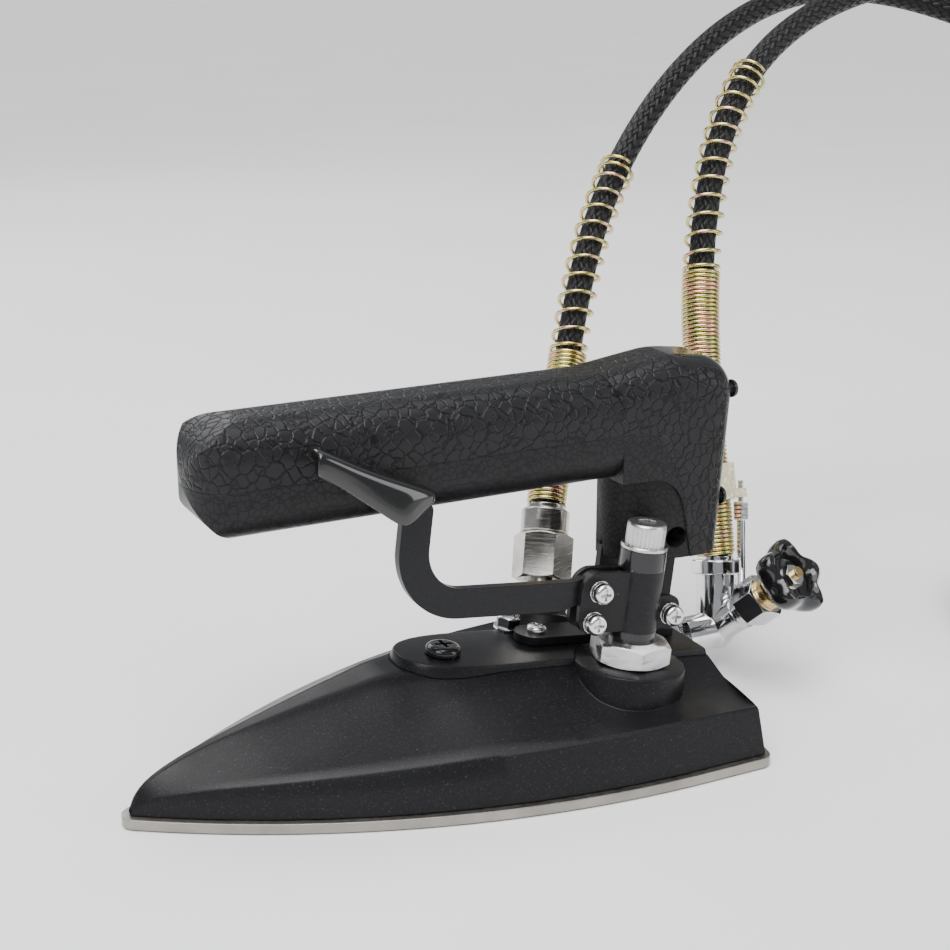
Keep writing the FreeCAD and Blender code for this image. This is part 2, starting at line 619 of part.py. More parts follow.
def outlet_body():
    """Angle-seat body: level inlet, upright outlet and an inclined barrel for the spindle."""
    j = JUNCTION
    level = cylinder(7.2, j.x - 118.4, (118.4, j.y, j.z), (1, 0, 0))
    collar = hexagon(15.0, 4.0, (118.4, j.y, j.z), (1, 0, 0), 30.0)
    riser = at_riser(cylinder(7.6, RISER_TOP))
    foot = Part.makeSphere(7.6, j)
    barrel = at_spindle(fuse(cylinder(6.4, BARREL_END), ring(5.0, 6.9, 1.6, (0, 0, BARREL_END - 2.0)),
                             ring(5.0, 6.9, 1.2, (0, 0, BARREL_END - 5.0))))
    lug = at_riser(box(3.0, 14.2, -3.0, 3.0, 12.0, 17.0))
    body = fuse(level, collar, riser, foot, barrel, lug)
    bores = [cylinder(4.98, 16.0, (110, j.y, j.z), (1, 0, 0)), cylinder(2.6, j.x - 118.4, (118.4, j.y, j.z), (1, 0, 0)),
             at_riser(cylinder(4.0, 40, (0, 0, 11.0))), at_riser(cylinder(2.6, 20)),
             at_spindle(cylinder(4.3, 60, (0, 0, 6.2))), at_spindle(cylinder(2.6, 20)),
             at_riser(cylinder(1.45, 10, (ROD_X, 0, 13.2)))]
    return cut(body, *bores)


def outlet_disc():
    """Seat disc that hangs on the spindle's end and doesn't turn with it."""
    return at_spindle(cut(cylinder(4.1, 3.2, (0, 0, 6.4)), cylinder(1.7, 2.0, (0, 0, 8.0))))


def outlet_stem():
    stem = fuse(cylinder(1.6, 2.4, (0, 0, 8.1)), cylinder(3.2, WHEEL_BACK + 1.2 - 10.0, (0, 0, 10.0)),
                cylinder(2.1, 10.6, (0, 0, WHEEL_BACK + 1.0)))
    return at_spindle(stem)


def outlet_bonnet():
    nut = fuse(hexagon(16.0, BONNET_END - BARREL_END - 0.1, (0, 0, BARREL_END + 0.1)),
               cylinder(4.25, 4.0, (0, 0, BARREL_END - 3.9)))
    return at_spindle(cut(nut, cylinder(3.28, 60), cylinder(4.9, 10, (0, 0, BONNET_END - 4.5))))


def stem_packing():
    return at_spindle(ring(3.28, 4.85, 3.2, (0, 0, BONNET_END - 4.4)))


def packing_nut():
    nut = fuse(cylinder(6.6, GLAND_END - BONNET_END - 0.1, (0, 0, BONNET_END + 0.1)),
               cylinder(4.8, 1.2, (0, 0, BONNET_END - 1.1)))
    return at_spindle(nut.cut(cylinder(3.28, 60)))


def handwheel():
    """Dished hand wheel with five round knuckles on its rim."""
    blank = cone(12.0, 13.2, WHEEL_FRONT - WHEEL_BACK, (0, 0, WHEEL_BACK))
    blank = blank.makeFillet(2.2, blank.Edges)
    dish = cone(8.2, 9.6, 8.0, (0, 0, WHEEL_BACK + 5.6))
    knuckles = []
    for k in range(5):
        a = math.radians(72.0 * k + 18.0)
        knuckles.append(Part.makeSphere(3.1, Vec(12.6 * math.cos(a), 12.6 * math.sin(a), WHEEL_FRONT - 1.6)))
    wheel = fuse(blank.cut(dish), *knuckles)
    return at_spindle(cut(wheel, cylinder(2.1, 60), cylinder(3.25, 1.3, (0, 0, WHEEL_BACK - 0.1))))


def wheel_nut():
    nut = fuse(hexagon(8.0, 3.2, (0, 0, WHEEL_BACK + 6.3)), cylinder(4.6, 0.6, (0, 0, WHEEL_BACK + 5.7)))
    return at_spindle(nut.cut(cylinder(2.1, 60)))


def outlet_collar():
    collar = ring(7.65, 9.7, 5.6, (0, 0, 21.5))
    return at_riser(collar.makeChamfer(0.5, [e for e in collar.Edges if e.BoundBox.XLength > 19]))


def outlet_ferrule():
    body = fuse(cylinder(6.6, 3.2, (0, 0, RISER_TOP + 0.1)), cylinder(3.8, 6.0, (0, 0, RISER_TOP - 5.0)))
    return at_riser(body.cut(cylinder(2.5, 80)))


def support_rod():
    return at_riser(fuse(cylinder(1.9, 25.0, (ROD_X, 0, 17.1)), cylinder(1.4, 4.0, (ROD_X, 0, 13.4))))


def support_nut():
    return at_riser(hexagon(5.6, 7.0, (ROD_X, 0, 42.2)))


def support_stud():
    return at_riser(cylinder(1.1, 8.4, (ROD_X, 0, 49.3)))


def guard_clip():
    """Nylon clip that holds the outlet's spring guard to the support rod."""
    low, high = Vec(*OUTLET_ROUTE[1]), Vec(*OUTLET_ROUTE[2])
    along = (high - low).normalize()
    turn = FreeCAD.Rotation(Vec(0, 0, 1), along)
    clip = fuse(ring(GUARD_OUTER + 0.2, 9.8, 14.0, (0, 0, 0)), box(8.2, 15.0, -2.6, 2.6, 0, 3.4))
    clip = cut(clip, cylinder(GUARD_OUTER + 0.2, 20), box(-12, -4, -4, 4, -1, 20))
    clip.Placement = FreeCAD.Placement(low + along * (-4.0), turn)
    return clip.cut(at_riser(cylinder(1.15, 16.0, (ROD_X, 0, 49.0))))


# ---------------------------------------------------------------- handle
GRIP_HALF = GRIP_HALF_WIDTH
LEG_SCREW = (93.0, 71.8)
GRIP_SCREWS = (-42.0, 36.0)
PLATE_SCREWS = (121.0, 82.0)


def handle_blank():
    """The whole grip and rear leg as one block, before it is parted."""
    grip = box(GRIP_FRONT_X, 98.0, -GRIP_HALF, GRIP_HALF, GRIP_BOTTOM_Z, GRIP_TOP_Z)
    grip = grip.makeFillet(12.5, [e for e in grip.Edges if e.BoundBox.XLength > 100])
    side = slab([(GRIP_FRONT_X, GRIP_TOP_Z, 18.0), (98, GRIP_TOP_Z), (98, GRIP_BOTTOM_Z),
                 (GRIP_FRONT_X, GRIP_BOTTOM_Z, 18.0)], -30, 30)
    plan = fuse(cylinder(20.0, 100.0, (GRIP_FRONT_X + 20.0, 0, 60.0)),
                box(GRIP_FRONT_X + 20, 140, -40, 40, 60, 160))
    grip = grip.common(side).common(plan)
    hump = slab([(40.0, 131.6), (66.0, 131.9, 60.0), (94.0, 135.7, 40.0), (119.0, 132.5, 14.0),
                 (113.8, LEG_BOTTOM_Z), (40.0, LEG_BOTTOM_Z)], -GRIP_HALF, GRIP_HALF)
    hump = fillet(hump, 11.0, lambda e: e.BoundBox.YLength < 0.01 and e.BoundBox.ZMax > LEG_BOTTOM_Z + 1
                  and e.BoundBox.XMax > 41)
    under = slab([(20, 150), (58, 150), (70.0, 121.0), (70.0, GRIP_BOTTOM_Z), (92.5, GRIP_BOTTOM_Z, 14.0),
                  (101.5, 50), (20, 50)], -40, 40)
    oval = Part.Face(Part.Wire(Part.Ellipse(Vec(101.0, 0, LEG_BOTTOM_Z), 29.5, GRIP_HALF - 0.3).toShape()))
    leg = oval.extrude(Vec(0, 0, 40.0)).common(box(0, 102.5, -40, 40, 0, 200))
    return fuse(grip, hump.cut(under), leg)


def bracket_blank(grow=0.0):
    """Steel core: an upright in the leg and a tongue inside the grip."""
    half = 1.5 + grow
    upright = deck(box(-4.3 - grow, 27.8 + grow, 21.0 - half, 21.0 + half, 0.2, 86.0 + grow))
    tongue = box(-52.0 - grow, 100.0 + grow, -5.0 - grow, 5.0 + grow, 106.0 - grow, 116.0 + grow)
    return fuse(upright, tongue)


def handle_bracket():
    foot = box(-32.0, 30.0, 17.6, 31.0, 0.2, 3.2)
    foot = fillet(foot, 6.4, lambda e: is_upright(e) and e.Vertexes[0].X < 0)
    foot = foot.fuse(box(-2.0, 30.0, 30.0, 33.4, 0.2, 3.2))
    foot = cut(foot, *[cylinder(2.2, 6, (x, y, 0)) for x, y in FOOT_SCREWS])
    holes = [cylinder(2.2, 20, (LEG_SCREW[0], -10, LEG_SCREW[1]), (0, 1, 0))]
    holes += [cylinder(2.2, 60, (x, 0, 90.0)) for x in GRIP_SCREWS]
    return cut(fuse(bracket_blank(), deck(foot)), *holes)


def bracket_screws():
    return [deck(screw(3.6, 2.2, 1.9, 16.0, (x, y, 3.25), (0, 0, 1))) for x, y in FOOT_SCREWS]


def handle_parts():
    """Parts the block along the mould line and the rear plate, and bores the screw holes."""
    block = cut(handle_blank(), bracket_blank(0.1))
    below = slab([(-140, PARTING_Z), (84.0, PARTING_Z, 14.0), (94.5, 90.0, 30.0), (102.2, 40), (-140, 40)],
                 -60, 60)
    behind = slab([(94.0, 170), (94.0, 132.8), (115.2, 129.6, 10.0), (110.2, 40), (180, 40), (180, 170)],
                  -60, 60)
    lower = block.common(below)
    plate = cut(block, below).common(behind)
    upper = cut(block, below, behind)
    leg_bore = [cylinder(3.8, 20, (LEG_SCREW[0], -5.5, LEG_SCREW[1]), (0, -1, 0)),
                cylinder(2.0, 20, (LEG_SCREW[0], -6, LEG_SCREW[1]), (0, 1, 0))]
    grip_bores = []
    for x in GRIP_SCREWS:
        grip_bores += [cylinder(3.8, 9.0, (x, 0, 91.0)), cylinder(2.0, 26.0, (x, 0, 98.0))]
    plate_bores = [cylinder(1.9, 14.0, (105.0, y, z), (1, 0, 0)) for z in PLATE_SCREWS for y in (-9.0, 9.0)]
    lower = cut(lower, *leg_bore, *grip_bores)
    upper = cut(upper, *grip_bores, *plate_bores)
    return upper, lower, cut(plate, *[b.copy() for b in plate_bores])


def handle_screws():
    leg = screw(3.6, 2.4, 1.9, 14.0, (LEG_SCREW[0], -5.5, LEG_SCREW[1]), (0, -1, 0))
    return [leg] + [screw(3.6, 2.4, 1.9, 22.0, (x, 0, 100.0), (0, 0, -1)) for x in GRIP_SCREWS]


def plate_screws():
    screws = []
    for z in PLATE_SCREWS:
        face = 113.8 + (z - LEG_BOTTOM_Z) * (119.0 - 113.8) / (132.5 - LEG_BOTTOM_Z)
        screws += [screw(3.2, 1.8, 1.8, 10.0, (face + 0.2, y, z), (1, 0, 0)) for y in (-9.0, 9.0)]
    return screws


# ---------------------------------------------------------------- hoses
# Each route runs from the ferrule up through the spring guard, over to the side and down
# on to the top of its coil of put-away hose.
INLET_COIL = (302.0, -24.0)
OUTLET_COIL = (424.0, -36.0)
INLET_ROUTE = [
    (74.9, 44.7, 68.1), (83.6, 54.4, 88.3), (93.8, 65.2, 109.5), (104.2, 76.4, 132.5),
    (117.0, 87.9, 156.2), (133.0, 99.6, 177.5), (153.5, 111.0, 198.0), (177.5, 121.5, 217.0),
    (205.0, 131.0, 233.0), (236.0, 139.5, 244.5), (267.0, 144.0, 249.5), (298.0, 143.0, 248.0),
    (326.0, 132.0, 241.0), (346.0, 111.0, 230.0), (357.0, 84.0, 217.0), (362.0, 55.0, 203.0),
    (363.0, 26.0, 187.0), (361.0, -3.0, 170.0), (357.0, -31.0, 151.0), (346.0, -57.0, 131.0),
    (327.0, -77.1, 112.0), (298.6, -86.1, 95.3), (269.4, -78.2, 79.4), (249.5, -56.8, 63.6),
    (243.4, -27.5, 49.4), (252.3, 2.3, 39.5),
]
OUTLET_ROUTE = [
    (141.9, 28.4, 42.1), (143.2, 35.5, 67.0), (144.6, 43.2, 92.5), (147.2, 51.6, 117.5),
    (151.9, 60.9, 144.3), (160.1, 71.2, 169.6), (173.0, 82.2, 195.0), (191.0, 92.5, 217.0),
    (214.0, 100.5, 233.0), (243.0, 108.0, 244.5), (275.0, 112.0, 252.0), (308.0, 113.0, 255.0),
    (341.0, 111.0, 253.0), (374.0, 104.0, 247.0), (405.0, 92.0, 238.0), (432.0, 74.0, 226.0),
    (452.0, 50.0, 213.0), (464.0, 22.0, 199.0), (471.0, -8.0, 183.0), (475.0, -38.0, 163.0),
    (470.0, -66.0, 141.0), (452.1, -88.6, 118.2), (423.6, -100.0, 100.4), (395.0, -93.5, 81.2),
    (375.5, -72.4, 62.5), (369.8, -42.4, 47.7), (378.8, -11.8, 39.5),
]


def route_edges(points):
    """Straight runs joined by arcs, each as large as its two runs allow."""
    corners = [Vec(*p) for p in points]
    edges, radii = [], []
    last = corners[0]
    for i in range(1, len(corners) - 1):
        into = corners[i - 1] - corners[i]
        out = corners[i + 1] - corners[i]
        reach = 0.45 * min(into.Length, out.Length)
        into.normalize()
        out.normalize()
        half = into.getAngle(out) / 2.0
        radius = reach * math.tan(half)
        middle_way = (into + out).normalize()
        start, end = corners[i] + into * reach, corners[i] + out * reach
        middle = corners[i] + middle_way * (reach / math.cos(half) - radius)
        edges.append(Part.LineSegment(last, start).toShape())
        edges.append(Part.Arc(start, middle, end).toShape())
        radii.append(radius)
        last = end
    edges.append(Part.LineSegment(last, corners[-1]).toShape())
    return edges, radii


def sweep(edges, radius, bore=0.0):
    """A round tube along the edges, checked against section times length."""
    wire = Part.Wire(edges)
    first = edges[0]
    start = first.valueAt(first.FirstParameter)
    heading = first.tangentAt(first.FirstParameter)

    def rod(size):
        circle = Part.Wire(Part.Circle(start, heading, size).toShape())
        return wire.makePipeShell([circle], True, False)

    tube = rod(radius)
    expected = math.pi * radius ** 2 * wire.Length
    assert abs(tube.Volume / expected - 1.0) < 0.02, (tube.Volume, expected)
    return tube.cut(rod(bore)) if bore else tube


def hose(name, route, centre, radius, guard_edges, guard_top):
    """Hose tube, its spring guard's envelope, and the coil of put-away hose."""
    edges, radii = route_edges(route)
    guard = sweep(edges[slice(*guard_edges)], GUARD_OUTER, GUARD_INNER)
    guard = guard.common(box(-200, 300, -200, 200, 0, guard_top))
    arrival = math.degrees(math.atan2(route[-1][1] - centre[1], route[-1][0] - centre[0]))
    turns = 3.0 + (arrival - 90.0) / 360.0
    tube_length = Part.Wire(edges).Length
    total = tube_length + turns * 2.0 * math.pi * radius + CONNECTOR_LEAD
    print(name, "tightest arcs", [round(r, 1) for r in sorted(radii)[:3]], "tube", round(tube_length),
          "coil turns", round(turns, 3), "whole length", round(total))
    height = HOSE_RADIUS * 2.0 + COIL_PITCH * (turns - 0.3)
    coil = ring(radius - HOSE_RADIUS, radius + HOSE_RADIUS, height, (*centre, 0.0))
    lead = cylinder(HOSE_RADIUS, CONNECTOR_LEAD, (centre[0], centre[1] + radius, CONNECTOR_Z), (1, 0, 0))
    return sweep(edges, HOSE_RADIUS), guard, coil.fuse(lead)


def hose_connector(centre, radius):
    """Crimped tail and swivel nut on the hose's free end, lying on the surface beside its coil."""
    x, y = centre[0] + CONNECTOR_LEAD - 9.0, centre[1] + radius
    tail = cylinder(6.4, 12.0, (x, y, CONNECTOR_Z), (1, 0, 0))
    nut = hexagon(13.2, 14.0, (x + 12.0, y, CONNECTOR_Z), (1, 0, 0), 30.0)
    return cut(fuse(tail, nut), cylinder(HOSE_RADIUS, 9.0, (x, y, CONNECTOR_Z), (1, 0, 0)),
               cylinder(2.5, 40, (x, y, CONNECTOR_Z), (1, 0, 0)),
               cylinder(SOCKET_RADIUS, 12.0, (x + 14.0, y, CONNECTOR_Z), (1, 0, 0)))


# ---------------------------------------------------------------- build
keep("sole_plate", sole_plate())
keep("chest_gasket", chest_gasket())
keep("steam_chest", steam_chest())
keep("chest_screws", *chest_screws())
keep("cover_shell", cover_shell())
keep("cover_screw", cover_screw())
keep("cover_nut", cover_nut())

keep("base_nut", base_nut())
keep("valve_body", valve_body())
keep("valve_seat", valve_seat())
keep("valve_plunger", valve_plunger())
keep("plunger_ring", plunger_ring())
keep("plunger_spring", plunger_spring())
keep("cap_washer", cap_washer())
keep("valve_cap", valve_cap())
keep("clamp_left", clamp_half(-1))
keep("clamp_right", clamp_half(1))
keep("clamp_spacers", *clamp_spacers())
keep("pivot_screw", clamp_screw(PIVOT))
keep("clamp_screws", *[clamp_screw(place) for place in CLAMP_SCREWS])
keep("flat_washers", *flat_washers())
keep("spring_washers", *spring_washers())
keep("clamp_nuts", *clamp_nuts())
keep("lever_arm", lever_arm())
keep("thumb_paddle", thumb_paddle())

keep("inlet_nipple", inlet_nipple())
keep("inlet_swivel_nut", inlet_swivel_nut())
keep("inlet_ferrule", inlet_ferrule())

keep("outlet_nipple", outlet_nipple())
keep("outlet_body", outlet_body())
keep("outlet_disc", outlet_disc())
keep("outlet_stem", outlet_stem())
keep("outlet_bonnet", outlet_bonnet())
keep("stem_packing", stem_packing())
keep("packing_nut", packing_nut())
keep("handwheel", handwheel())
keep("wheel_nut", wheel_nut())
keep("outlet_collar", outlet_collar())
keep("outlet_ferrule", outlet_ferrule())
keep("support_rod", support_rod())
keep("support_nut", support_nut())
keep("support_stud", support_stud())
keep("guard_clip", guard_clip())

keep("handle_bracket", handle_bracket())
keep("bracket_screws", *bracket_screws())
handle_upper, handle_lower, rear_plate = handle_parts()
keep("handle_upper_shell", handle_upper)
keep("handle_lower_shell", handle_lower)
keep("handle_rear_plate", rear_plate)
keep("handle_screws", *handle_screws())
keep("plate_screws", *plate_screws())

inlet = hose("inlet", INLET_ROUTE, INLET_COIL, COIL_RADII[0], (0, 10), 184.0)
keep("inlet_hose", inlet[0])
keep("inlet_spring_guard", inlet[1])
keep("inlet_hose_coil", inlet[2])
keep("inlet_hose_end", hose_connector(INLET_COIL, COIL_RADII[0]))
outlet = hose("outlet", OUTLET_ROUTE, OUTLET_COIL, COIL_RADII[1], (2, 14), 219.5)
keep("outlet_hose", outlet[0])
keep("outlet_spring_guard", outlet[1])
keep("outlet_hose_coil", outlet[2])
keep("outlet_hose_end", hose_connector(OUTLET_COIL, COIL_RADII[1]))

for name, shape in nodes.items():
    if not shape.isValid() or not shape.Solids:
        print("CHECK", name, "valid", shape.isValid(), "solids", len(shape.Solids))
    shape.exportStep("parts/" + name + ".step")
print(len(nodes), "nodes")
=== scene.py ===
import bisect
import math

import bpy
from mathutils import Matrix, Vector


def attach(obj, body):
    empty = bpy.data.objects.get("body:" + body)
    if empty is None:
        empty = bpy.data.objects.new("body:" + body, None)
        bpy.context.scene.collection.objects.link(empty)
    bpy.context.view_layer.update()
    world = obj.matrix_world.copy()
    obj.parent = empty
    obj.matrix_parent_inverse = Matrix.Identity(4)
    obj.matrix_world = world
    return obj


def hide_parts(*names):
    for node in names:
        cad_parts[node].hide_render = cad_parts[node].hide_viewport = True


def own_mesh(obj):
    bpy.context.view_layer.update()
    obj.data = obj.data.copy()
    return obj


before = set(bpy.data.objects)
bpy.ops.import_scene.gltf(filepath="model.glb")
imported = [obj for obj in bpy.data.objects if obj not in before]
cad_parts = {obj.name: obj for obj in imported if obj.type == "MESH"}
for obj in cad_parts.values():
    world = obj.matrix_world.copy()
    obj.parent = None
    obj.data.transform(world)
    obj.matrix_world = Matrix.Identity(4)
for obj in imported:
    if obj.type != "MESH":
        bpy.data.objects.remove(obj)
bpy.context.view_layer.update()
BODY = "iron"

# ---------------------------------------------------------------- camera
camera_data = bpy.data.cameras.new("camera")
camera_data.sensor_width = 36.0
camera_data.lens = 66.32
camera = bpy.data.objects.new("camera", camera_data)
camera.location = (-0.2341, -0.4982, 0.2770)
camera.rotation_euler = (math.radians(72.5), 0.0, math.radians(-27.2))
bpy.context.scene.collection.objects.link(camera)
bpy.context.scene.camera = camera


# ---------------------------------------------------------------- finishes
class Look:
    """A Principled material whose colour, roughness and relief all vary over the surface."""

    def __init__(self, name, metal=0.0, coords="Object"):
        self.material = bpy.data.materials.new(name)
        self.material.use_nodes = True
        self.tree = self.material.node_tree
        self.shader = self.tree.nodes["Principled BSDF"]
        self.shader.inputs["Metallic"].default_value = metal
        self.shader.inputs["Specular IOR Level"].default_value = 0.5 if metal else 0.2
        self.where = self.node("TexCoord").outputs[coords]

    def node(self, kind, **settings):
        made = self.tree.nodes.new("ShaderNode" + kind)
        for key, value in settings.items():
            setattr(made, key, value)
        return made

    def join(self, output, socket):
        self.tree.links.new(output, socket)

    def stretched(self, scale, turn=(0, 0, 0)):
        mapping = self.node("Mapping")
        self.join(self.where, mapping.inputs["Vector"])
        mapping.inputs["Scale"].default_value = scale
        mapping.inputs["Rotation"].default_value = turn
        return mapping.outputs["Vector"]

    def noise(self, scale, detail=3.0, vector=None, rough=0.55):
        made = self.node("TexNoise")
        self.join(vector or self.where, made.inputs["Vector"])
        made.inputs["Scale"].default_value = scale
        made.inputs["Detail"].default_value = detail
        made.inputs["Roughness"].default_value = rough
        return made.outputs["Fac"]

    def ramp(self, value, stops):
        made = self.node("ValToRGB")
        self.join(value, made.inputs["Fac"])
        elements = made.color_ramp.elements
        while len(elements) < len(stops):
            elements.new(0.5)
        for element, (place, colour) in zip(elements, stops):
            element.position = place
            element.color = (*colour, 1.0) if len(colour) == 3 else colour
        return made.outputs["Color"]

    def span(self, value, low, high, begin=0.3, end=0.7):
        made = self.node("MapRange")
        self.join(value, made.inputs["Value"])
        for key, number in (("From Min", begin), ("From Max", end), ("To Min", low), ("To Max", high)):
            made.inputs[key].default_value = number
        return made.outputs["Result"]

    def math(self, operation, first, second=None):
        made = self.node("Math", operation=operation)
        for socket, value in zip(made.inputs, (first, second)):
            if isinstance(value, float):
                socket.default_value = value
            elif value is not None:
                self.join(value, socket)
        return made.outputs[0]

    def colour(self, output):
        self.join(output, self.shader.inputs["Base Color"])

    def roughness(self, value, low, high):
        self.join(self.span(value, low, high), self.shader.inputs["Roughness"])

    def relief(self, *layers, edge=0.0004):
        """Layers of (value, height in metres, strength) over softly rounded edges."""
        normal = None
        if edge:
            rounded = self.node("Bevel", samples=4)
            rounded.inputs["Radius"].default_value = edge
            normal = rounded.outputs["Normal"]
        for value, height, strength in layers:
            bump = self.node("Bump")
            bump.inputs["Strength"].default_value = strength
            bump.inputs["Distance"].default_value = height
            self.join(value, bump.inputs["Height"])
            if normal:
                self.join(normal, bump.inputs["Normal"])
            normal = bump.outputs["Normal"]
        self.join(normal, self.shader.inputs["Normal"])


def shade(colour, factor):
    return tuple(min(1.0, c * factor) for c in colour)


def speckled(name, base, rough, speck=(0.30, 0.30, 0.31), specks=0.74, grain=1400, height=4e-5,
             metal=0.0, coat=0.0):
    """Paint or plastic with fine light specks; specks is the noise level where they start."""
    look = Look(name, metal)
    broad, fine = look.noise(34), look.noise(grain, 2.0)
    look.colour(look.ramp(fine, [(0.0, shade(base, 0.7)), (0.5, base), (specks, shade(base, 1.5)),
                                 (min(specks + 0.05, 1.0), speck)]))
    look.roughness(broad, rough - 0.05, rough + 0.09)
    look.relief((fine, height, 0.35), (broad, 2e-4, 0.08))
    look.shader.inputs["Coat Weight"].default_value = coat
    look.shader.inputs["Coat Roughness"].default_value = 0.08
    return look.material


def metal(name, base, rough, lines=(900, 900, 60), height=1.5e-5, edge=0.0004, stain=0.75):
    """Metal with fine ground lines, along the axis where lines is smallest, and faint stains."""
    look = Look(name, 1.0)
    broad, ground = look.noise(70, 4.0), look.noise(1.0, 3.0, look.stretched(lines))
    look.colour(look.ramp(broad, [(0.25, shade(base, stain)), (0.6, base), (0.8, shade(base, 1.12))]))
    look.roughness(ground, max(0.02, rough - 0.04), rough + 0.1)
    look.relief((ground, height, 0.35), (look.noise(160), 6e-5, 0.1), edge=edge)
    return look.material


def leather(name, base, rough, cell, height):
    """Irregular cracked cells with thin grooves, with shade painted dark into the grooves."""
    look = Look(name)
    wobble = look.node("TexNoise")
    look.join(look.where, wobble.inputs["Vector"])
    wobble.inputs["Scale"].default_value = 320.0
    shift = look.node("VectorMath", operation="MULTIPLY_ADD")
    look.join(wobble.outputs["Color"], shift.inputs[0])
    shift.inputs[1].default_value = (0.0022, 0.0022, 0.0022)
    look.join(look.where, shift.inputs[2])
    cells = look.node("TexVoronoi", feature="DISTANCE_TO_EDGE")
    look.join(shift.outputs[0], cells.inputs["Vector"])
    cells.inputs["Scale"].default_value = cell
    groove = look.span(cells.outputs["Distance"], 0.0, 1.0, 0.0, 0.13)
    fine = look.noise(1500, 2.0)
    # painted shade: the colour drops to 0.3 of the base in the grooves, where shade falls
    look.colour(look.ramp(groove, [(0.0, shade(base, 0.3)), (0.5, shade(base, 0.8)),
                                   (1.0, shade(base, 1.2))]))
    look.roughness(look.noise(60), rough - 0.05, rough + 0.08)
    look.relief((groove, height, 0.75), (fine, 3e-5, 0.35), edge=0.0008)
    return look.material


def yellow_zinc():
    """Passivated spring wire: gold with green and pink tints and drawing lines."""
    look = Look("yellow_zinc_look", 1.0)
    tint = look.noise(150, 3.0)
    look.colour(look.ramp(tint, [(0.25, (0.50, 0.33, 0.10)), (0.42, (0.74, 0.57, 0.22)),
                                 (0.52, (0.47, 0.50, 0.20)), (0.62, (0.80, 0.48, 0.34)),
                                 (0.8, (0.66, 0.60, 0.30))]))
    drawn = look.noise(1.0, 2.0, look.stretched((1500, 1500, 200)))
    look.roughness(drawn, 0.17, 0.32)
    look.relief((drawn, 1e-5, 0.4), edge=0.0)
    return look.material


def thread_tape():
    """Nickel nut under a thin torn wrap of white tape."""
    look = Look("thread_tape_look", 0.0)
    torn = look.noise(1.0, 5.0, look.stretched((70, 70, 170), (0.1, 0.2, 0.0)))
    look.colour(look.ramp(torn, [(0.40, (0.62, 0.61, 0.59)), (0.50, (0.70, 0.70, 0.69)),
                                 (0.7, (0.84, 0.84, 0.83))]))
    look.join(look.span(torn, 0.95, 0.0, 0.46, 0.53), look.shader.inputs["Metallic"])
    look.roughness(torn, 0.22, 0.5)
    look.relief((torn, 6e-4, 0.7), edge=0.0005)
    return look.material


BRAID_CARRIERS = 12
BRAID_PITCH = 0.0026


def braid():
    """Two sets of bundles winding opposite ways, over and under each other, on UV of turn and length, with
    shade painted into the dips between them.
    """
    look = Look("hose_braid_look", 0.0, "UV")
    split = look.node("SeparateXYZ")
    look.join(look.where, split.inputs["Vector"])
    across, along = split.outputs["X"], split.outputs["Y"]
    right, left = look.math("ADD", across, along), look.math("SUBTRACT", across, along)
    strands = [look.math("ABSOLUTE", look.math("SINE", look.math("MULTIPLY", way, math.pi)))
               for way in (right, left)]
    steps = look.math("ADD", look.math("FLOOR", right), look.math("FLOOR", left))
    over = look.math("PINGPONG", steps, 1.0)
    under = look.math("SUBTRACT", 1.0, over)
    height = look.math("ADD", look.math("MULTIPLY", strands[0], over),
                       look.math("MULTIPLY", strands[1], under))
    threads = look.math("ABSOLUTE", look.math("SINE", look.math("MULTIPLY", right, math.pi * 5.0)))
    # painted shade: darkest where the strands dip under each other and in the gaps between them, lighter on
    # the crowns
    look.colour(look.ramp(height, [(0.0, (0.001, 0.001, 0.001)), (0.45, (0.006, 0.006, 0.006)),
                                   (1.0, (0.015, 0.015, 0.016))]))
    look.roughness(height, 0.56, 0.36)
    look.relief((height, 6e-4, 0.9), (threads, 6e-5, 0.4), edge=0.0)
    return look.material


